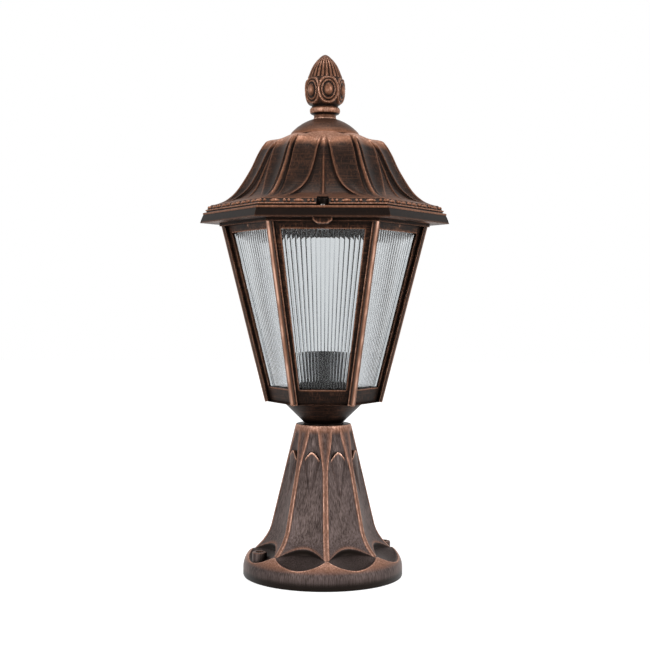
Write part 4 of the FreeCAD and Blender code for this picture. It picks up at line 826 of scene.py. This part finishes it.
# The first and last places of these two only give the slope
CUP_PROFILE = [
    (11, 448.2), (12.3, 449), (14.2, 450.8), (16.2, 454), (17.6, 458), (18.2, 462), (18.3, 465.5),
    (17.9, 469.5), (17.0, 473), (16.2, 475.4), (15.6, 477)]
BUD_PROFILE = [
    (16.8, 472), (16.6, 475.8), (15.1, 479.8), (13.5, 483.8), (11.5, 487.8), (8.6, 491.8), (5.6, 495),
    (3.0, 497.2), (0.05, 498.4), (-3, 498)]
OVAL_COUNT = 6
OVAL_TURN = math.radians(282)
OVAL_MIDDLE = 463.2
OVAL_HALF_WIDTH = 9.3
OVAL_HALF_HEIGHT = 12.0
FLUTE_COUNT = 24
FLUTE_DEPTH = 1.3


def oval_relief(angle, reach, height):
    """Relief and wear of the cup's ovals: two rims and a boss, with painted shade in the grooves between
    them.
    """
    step = 2 * math.pi / OVAL_COUNT
    across = ((angle - OVAL_TURN + step / 2) % step - step / 2) * reach
    place = math.hypot(across / OVAL_HALF_WIDTH, (height - OVAL_MIDDLE) / OVAL_HALF_HEIGHT)
    outer = ridge(place, 1.0, 0.16)
    inner = ridge(place, 0.72, 0.1)
    boss = max(0, 1 - (place / 0.52) ** 2)
    relief = 1.5 * outer + 0.9 * inner + 2.0 * boss ** 0.7 - 0.6 * (place < 1)
    # Painted shade in the grooves
    groove = -0.5 if 0.5 < place < 0.64 or 0.8 < place < 0.87 else 0
    return relief, max(0.55 * outer, 0.5 * inner, 0.75 * boss) + groove


def finial_skin(material):
    """Neck, cup with ovals and fluted bud."""
    cup = smooth_curve(CUP_PROFILE, FINIAL_CURVE_ROWS)
    bud = smooth_curve(BUD_PROFILE, FINIAL_CURVE_ROWS)
    cup_low, cup_high = cup[0][1], cup[-1][1]
    columns = []
    for index in range(FINIAL_COLUMNS):
        angle = 2 * math.pi * index / FINIAL_COLUMNS
        line = []
        for reach, height in FINIAL_PROFILE:
            line.append((reach, height, 0.75 * smoothstep(13.2, 14.3, reach) + 0.4 * (height < 441)))
        for reach, height in cup:
            relief, wear_and_shade = oval_relief(angle, reach, height)
            fade = smoothstep(cup_low, cup_low + 2, height) * smoothstep(cup_high, cup_high - 1.2, height)
            line.append((reach + relief * fade, height, wear_and_shade * fade))
        for reach, height in bud:
            flute = abs(math.sin(FLUTE_COUNT / 2 * angle)) ** 0.7
            depth = FLUTE_DEPTH * smoothstep(497.5, 488, height)
            # Copper wear on the ribs between the flutes, painted shade in their hollows
            line.append((reach - depth * (1 - flute), height, 0.5 * flute - 0.4 * (1 - flute)))
        columns.append([(reach * math.cos(angle), reach * math.sin(angle), height, wear_and_shade)
                        for reach, height, wear_and_shade in line])
    grid = np.array(columns)
    piece = mesh_piece("finial_skin", grid[:, :, :3].reshape(-1, 3), wrapped_faces(*grid.shape[:2]), "roof",
                       material, sharp=60, wear_and_shade=grid[:, :, 3].ravel())
    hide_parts("finial")


finial_skin(finial_copper)

# Beads along the cage's corners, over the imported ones, in millimetres
BEAD_LOW = np.array([54.25, 0, 167.5])
BEAD_HIGH = np.array([96.85, 0, 336.6])
BEAD_RADIUS = 2.5
BEAD_COLUMNS = 13
BEAD_ROWS = 30


def post_beads(material):
    """Outer half of a round bead on each of the six posts."""
    along = (BEAD_HIGH - BEAD_LOW) / np.linalg.norm(BEAD_HIGH - BEAD_LOW)
    across = np.array([0, 1, 0])
    outwards = np.cross(across, along)
    vertices, faces, wear_and_shade = [], [], []
    for side in range(SIDES):
        sine, cosine = math.sin(2 * side * HALF_STEP), math.cos(2 * side * HALF_STEP)
        turned = np.array([[cosine, -sine, 0], [sine, cosine, 0], [0, 0, 1]])
        faces += open_faces(BEAD_COLUMNS, BEAD_ROWS, len(vertices))
        for angle in np.linspace(-0.5 * math.pi, 0.5 * math.pi, BEAD_COLUMNS):
            arm = BEAD_RADIUS * (math.cos(angle) * outwards + math.sin(angle) * across)
            for step in np.linspace(0, 1, BEAD_ROWS):
                vertices.append(turned @ (BEAD_LOW + (BEAD_HIGH - BEAD_LOW) * step + arm))
                wear_and_shade.append(0.85 * smoothstep(1.0, 0.25, abs(angle)))
    mesh_piece("post_beads", vertices, faces, "lantern", material, sharp=60, wear_and_shade=wear_and_shade)


post_beads(bead_copper)

# Floor, in metres
FLOOR_SIZE = 8

bpy.ops.mesh.primitive_plane_add(size=FLOOR_SIZE)
floor = bpy.context.object
floor.name = "floor"
floor.data.materials.append(white_stage("floor_white"))

# Camera: metres, and millimetres for the lens and the sensor
CAMERA_DISTANCE = 1.186
CAMERA_HEIGHT = 0.264
CAMERA_LENS = 68.4
CAMERA_SENSOR = 36
CAMERA_TURN = math.radians(1.0)
CAMERA_DOWN = math.radians(1.16)
CAMERA_ASIDE = math.radians(0.05)
CAMERA_ROLL = math.radians(0.28)

camera = bpy.data.objects.new("camera", bpy.data.cameras.new("camera"))
bpy.context.scene.collection.objects.link(camera)
camera.data.sensor_width = CAMERA_SENSOR
camera.data.lens = CAMERA_LENS
camera.location = (CAMERA_DISTANCE * math.sin(CAMERA_TURN), -CAMERA_DISTANCE * math.cos(CAMERA_TURN),
                   CAMERA_HEIGHT)
heading = CAMERA_TURN - CAMERA_ASIDE
aim = Vector((-math.sin(heading), math.cos(heading), -math.tan(CAMERA_DOWN)))
camera.rotation_mode = "QUATERNION"
camera.rotation_quaternion = aim.to_track_quat("-Z", "Y") @ Quaternion((0, 0, 1), CAMERA_ROLL)
bpy.context.scene.camera = camera

# World: seen as white; as light, a pale backdrop behind and to the right
BACKDROP_SIDE = (0.5, 0.866, 0)
BACKDROP_SPAN = (0.0, 0.6)
BACKDROP_LEVELS = (0.05, 0.9)


def studio_world(name):
    """White for the rays that show the background, and a backdrop as light for the others."""
    tree = Tree(bpy.data.worlds.new(name), "ShaderNodeOutputWorld")
    direction = tree.add("ShaderNodeTexCoord").outputs["Generated"]
    rearward = tree.measure("DOT_PRODUCT", direction, BACKDROP_SIDE)
    strength = tree.span(rearward, *BACKDROP_SPAN, *BACKDROP_LEVELS)
    backdrop = tree.add("ShaderNodeBackground", {"Color": WHITE, "Strength": strength})
    white = tree.add("ShaderNodeBackground", {"Color": WHITE, "Strength": 1.0})
    values = {0: tree.background_rays(), 1: backdrop.outputs[0], 2: white.outputs[0]}
    return tree.finish(tree.add("ShaderNodeMixShader", values).outputs[0])


bpy.context.scene.world = studio_world("studio")


def soft_box(name, place, target, width, height, power):
    """Area light that faces a target."""
    light = bpy.data.lights.new(name, "AREA")
    light.shape = "RECTANGLE"
    light.size = width
    light.size_y = height
    light.energy = power
    lamp = bpy.data.objects.new(name, light)
    bpy.context.scene.collection.objects.link(lamp)
    lamp.location = place
    lamp.rotation_mode = "QUATERNION"
    lamp.rotation_quaternion = (Vector(target) - Vector(place)).to_track_quat("-Z", "Y")


soft_box("left_box", (-0.8, -1.12, 0.55), target=(0, 0, 0.25), width=0.6, height=1.2, power=13)
soft_box("right_box", (1.2, -0.75, 0.5), target=(0, 0, 0.25), width=0.6, height=1.2, power=12)
soft_box("top_box", (0, -0.15, 1.6), target=(0, 0, 0.35), width=0.8, height=0.8, power=11)

bpy.context.scene.view_settings.view_transform = "Standard"
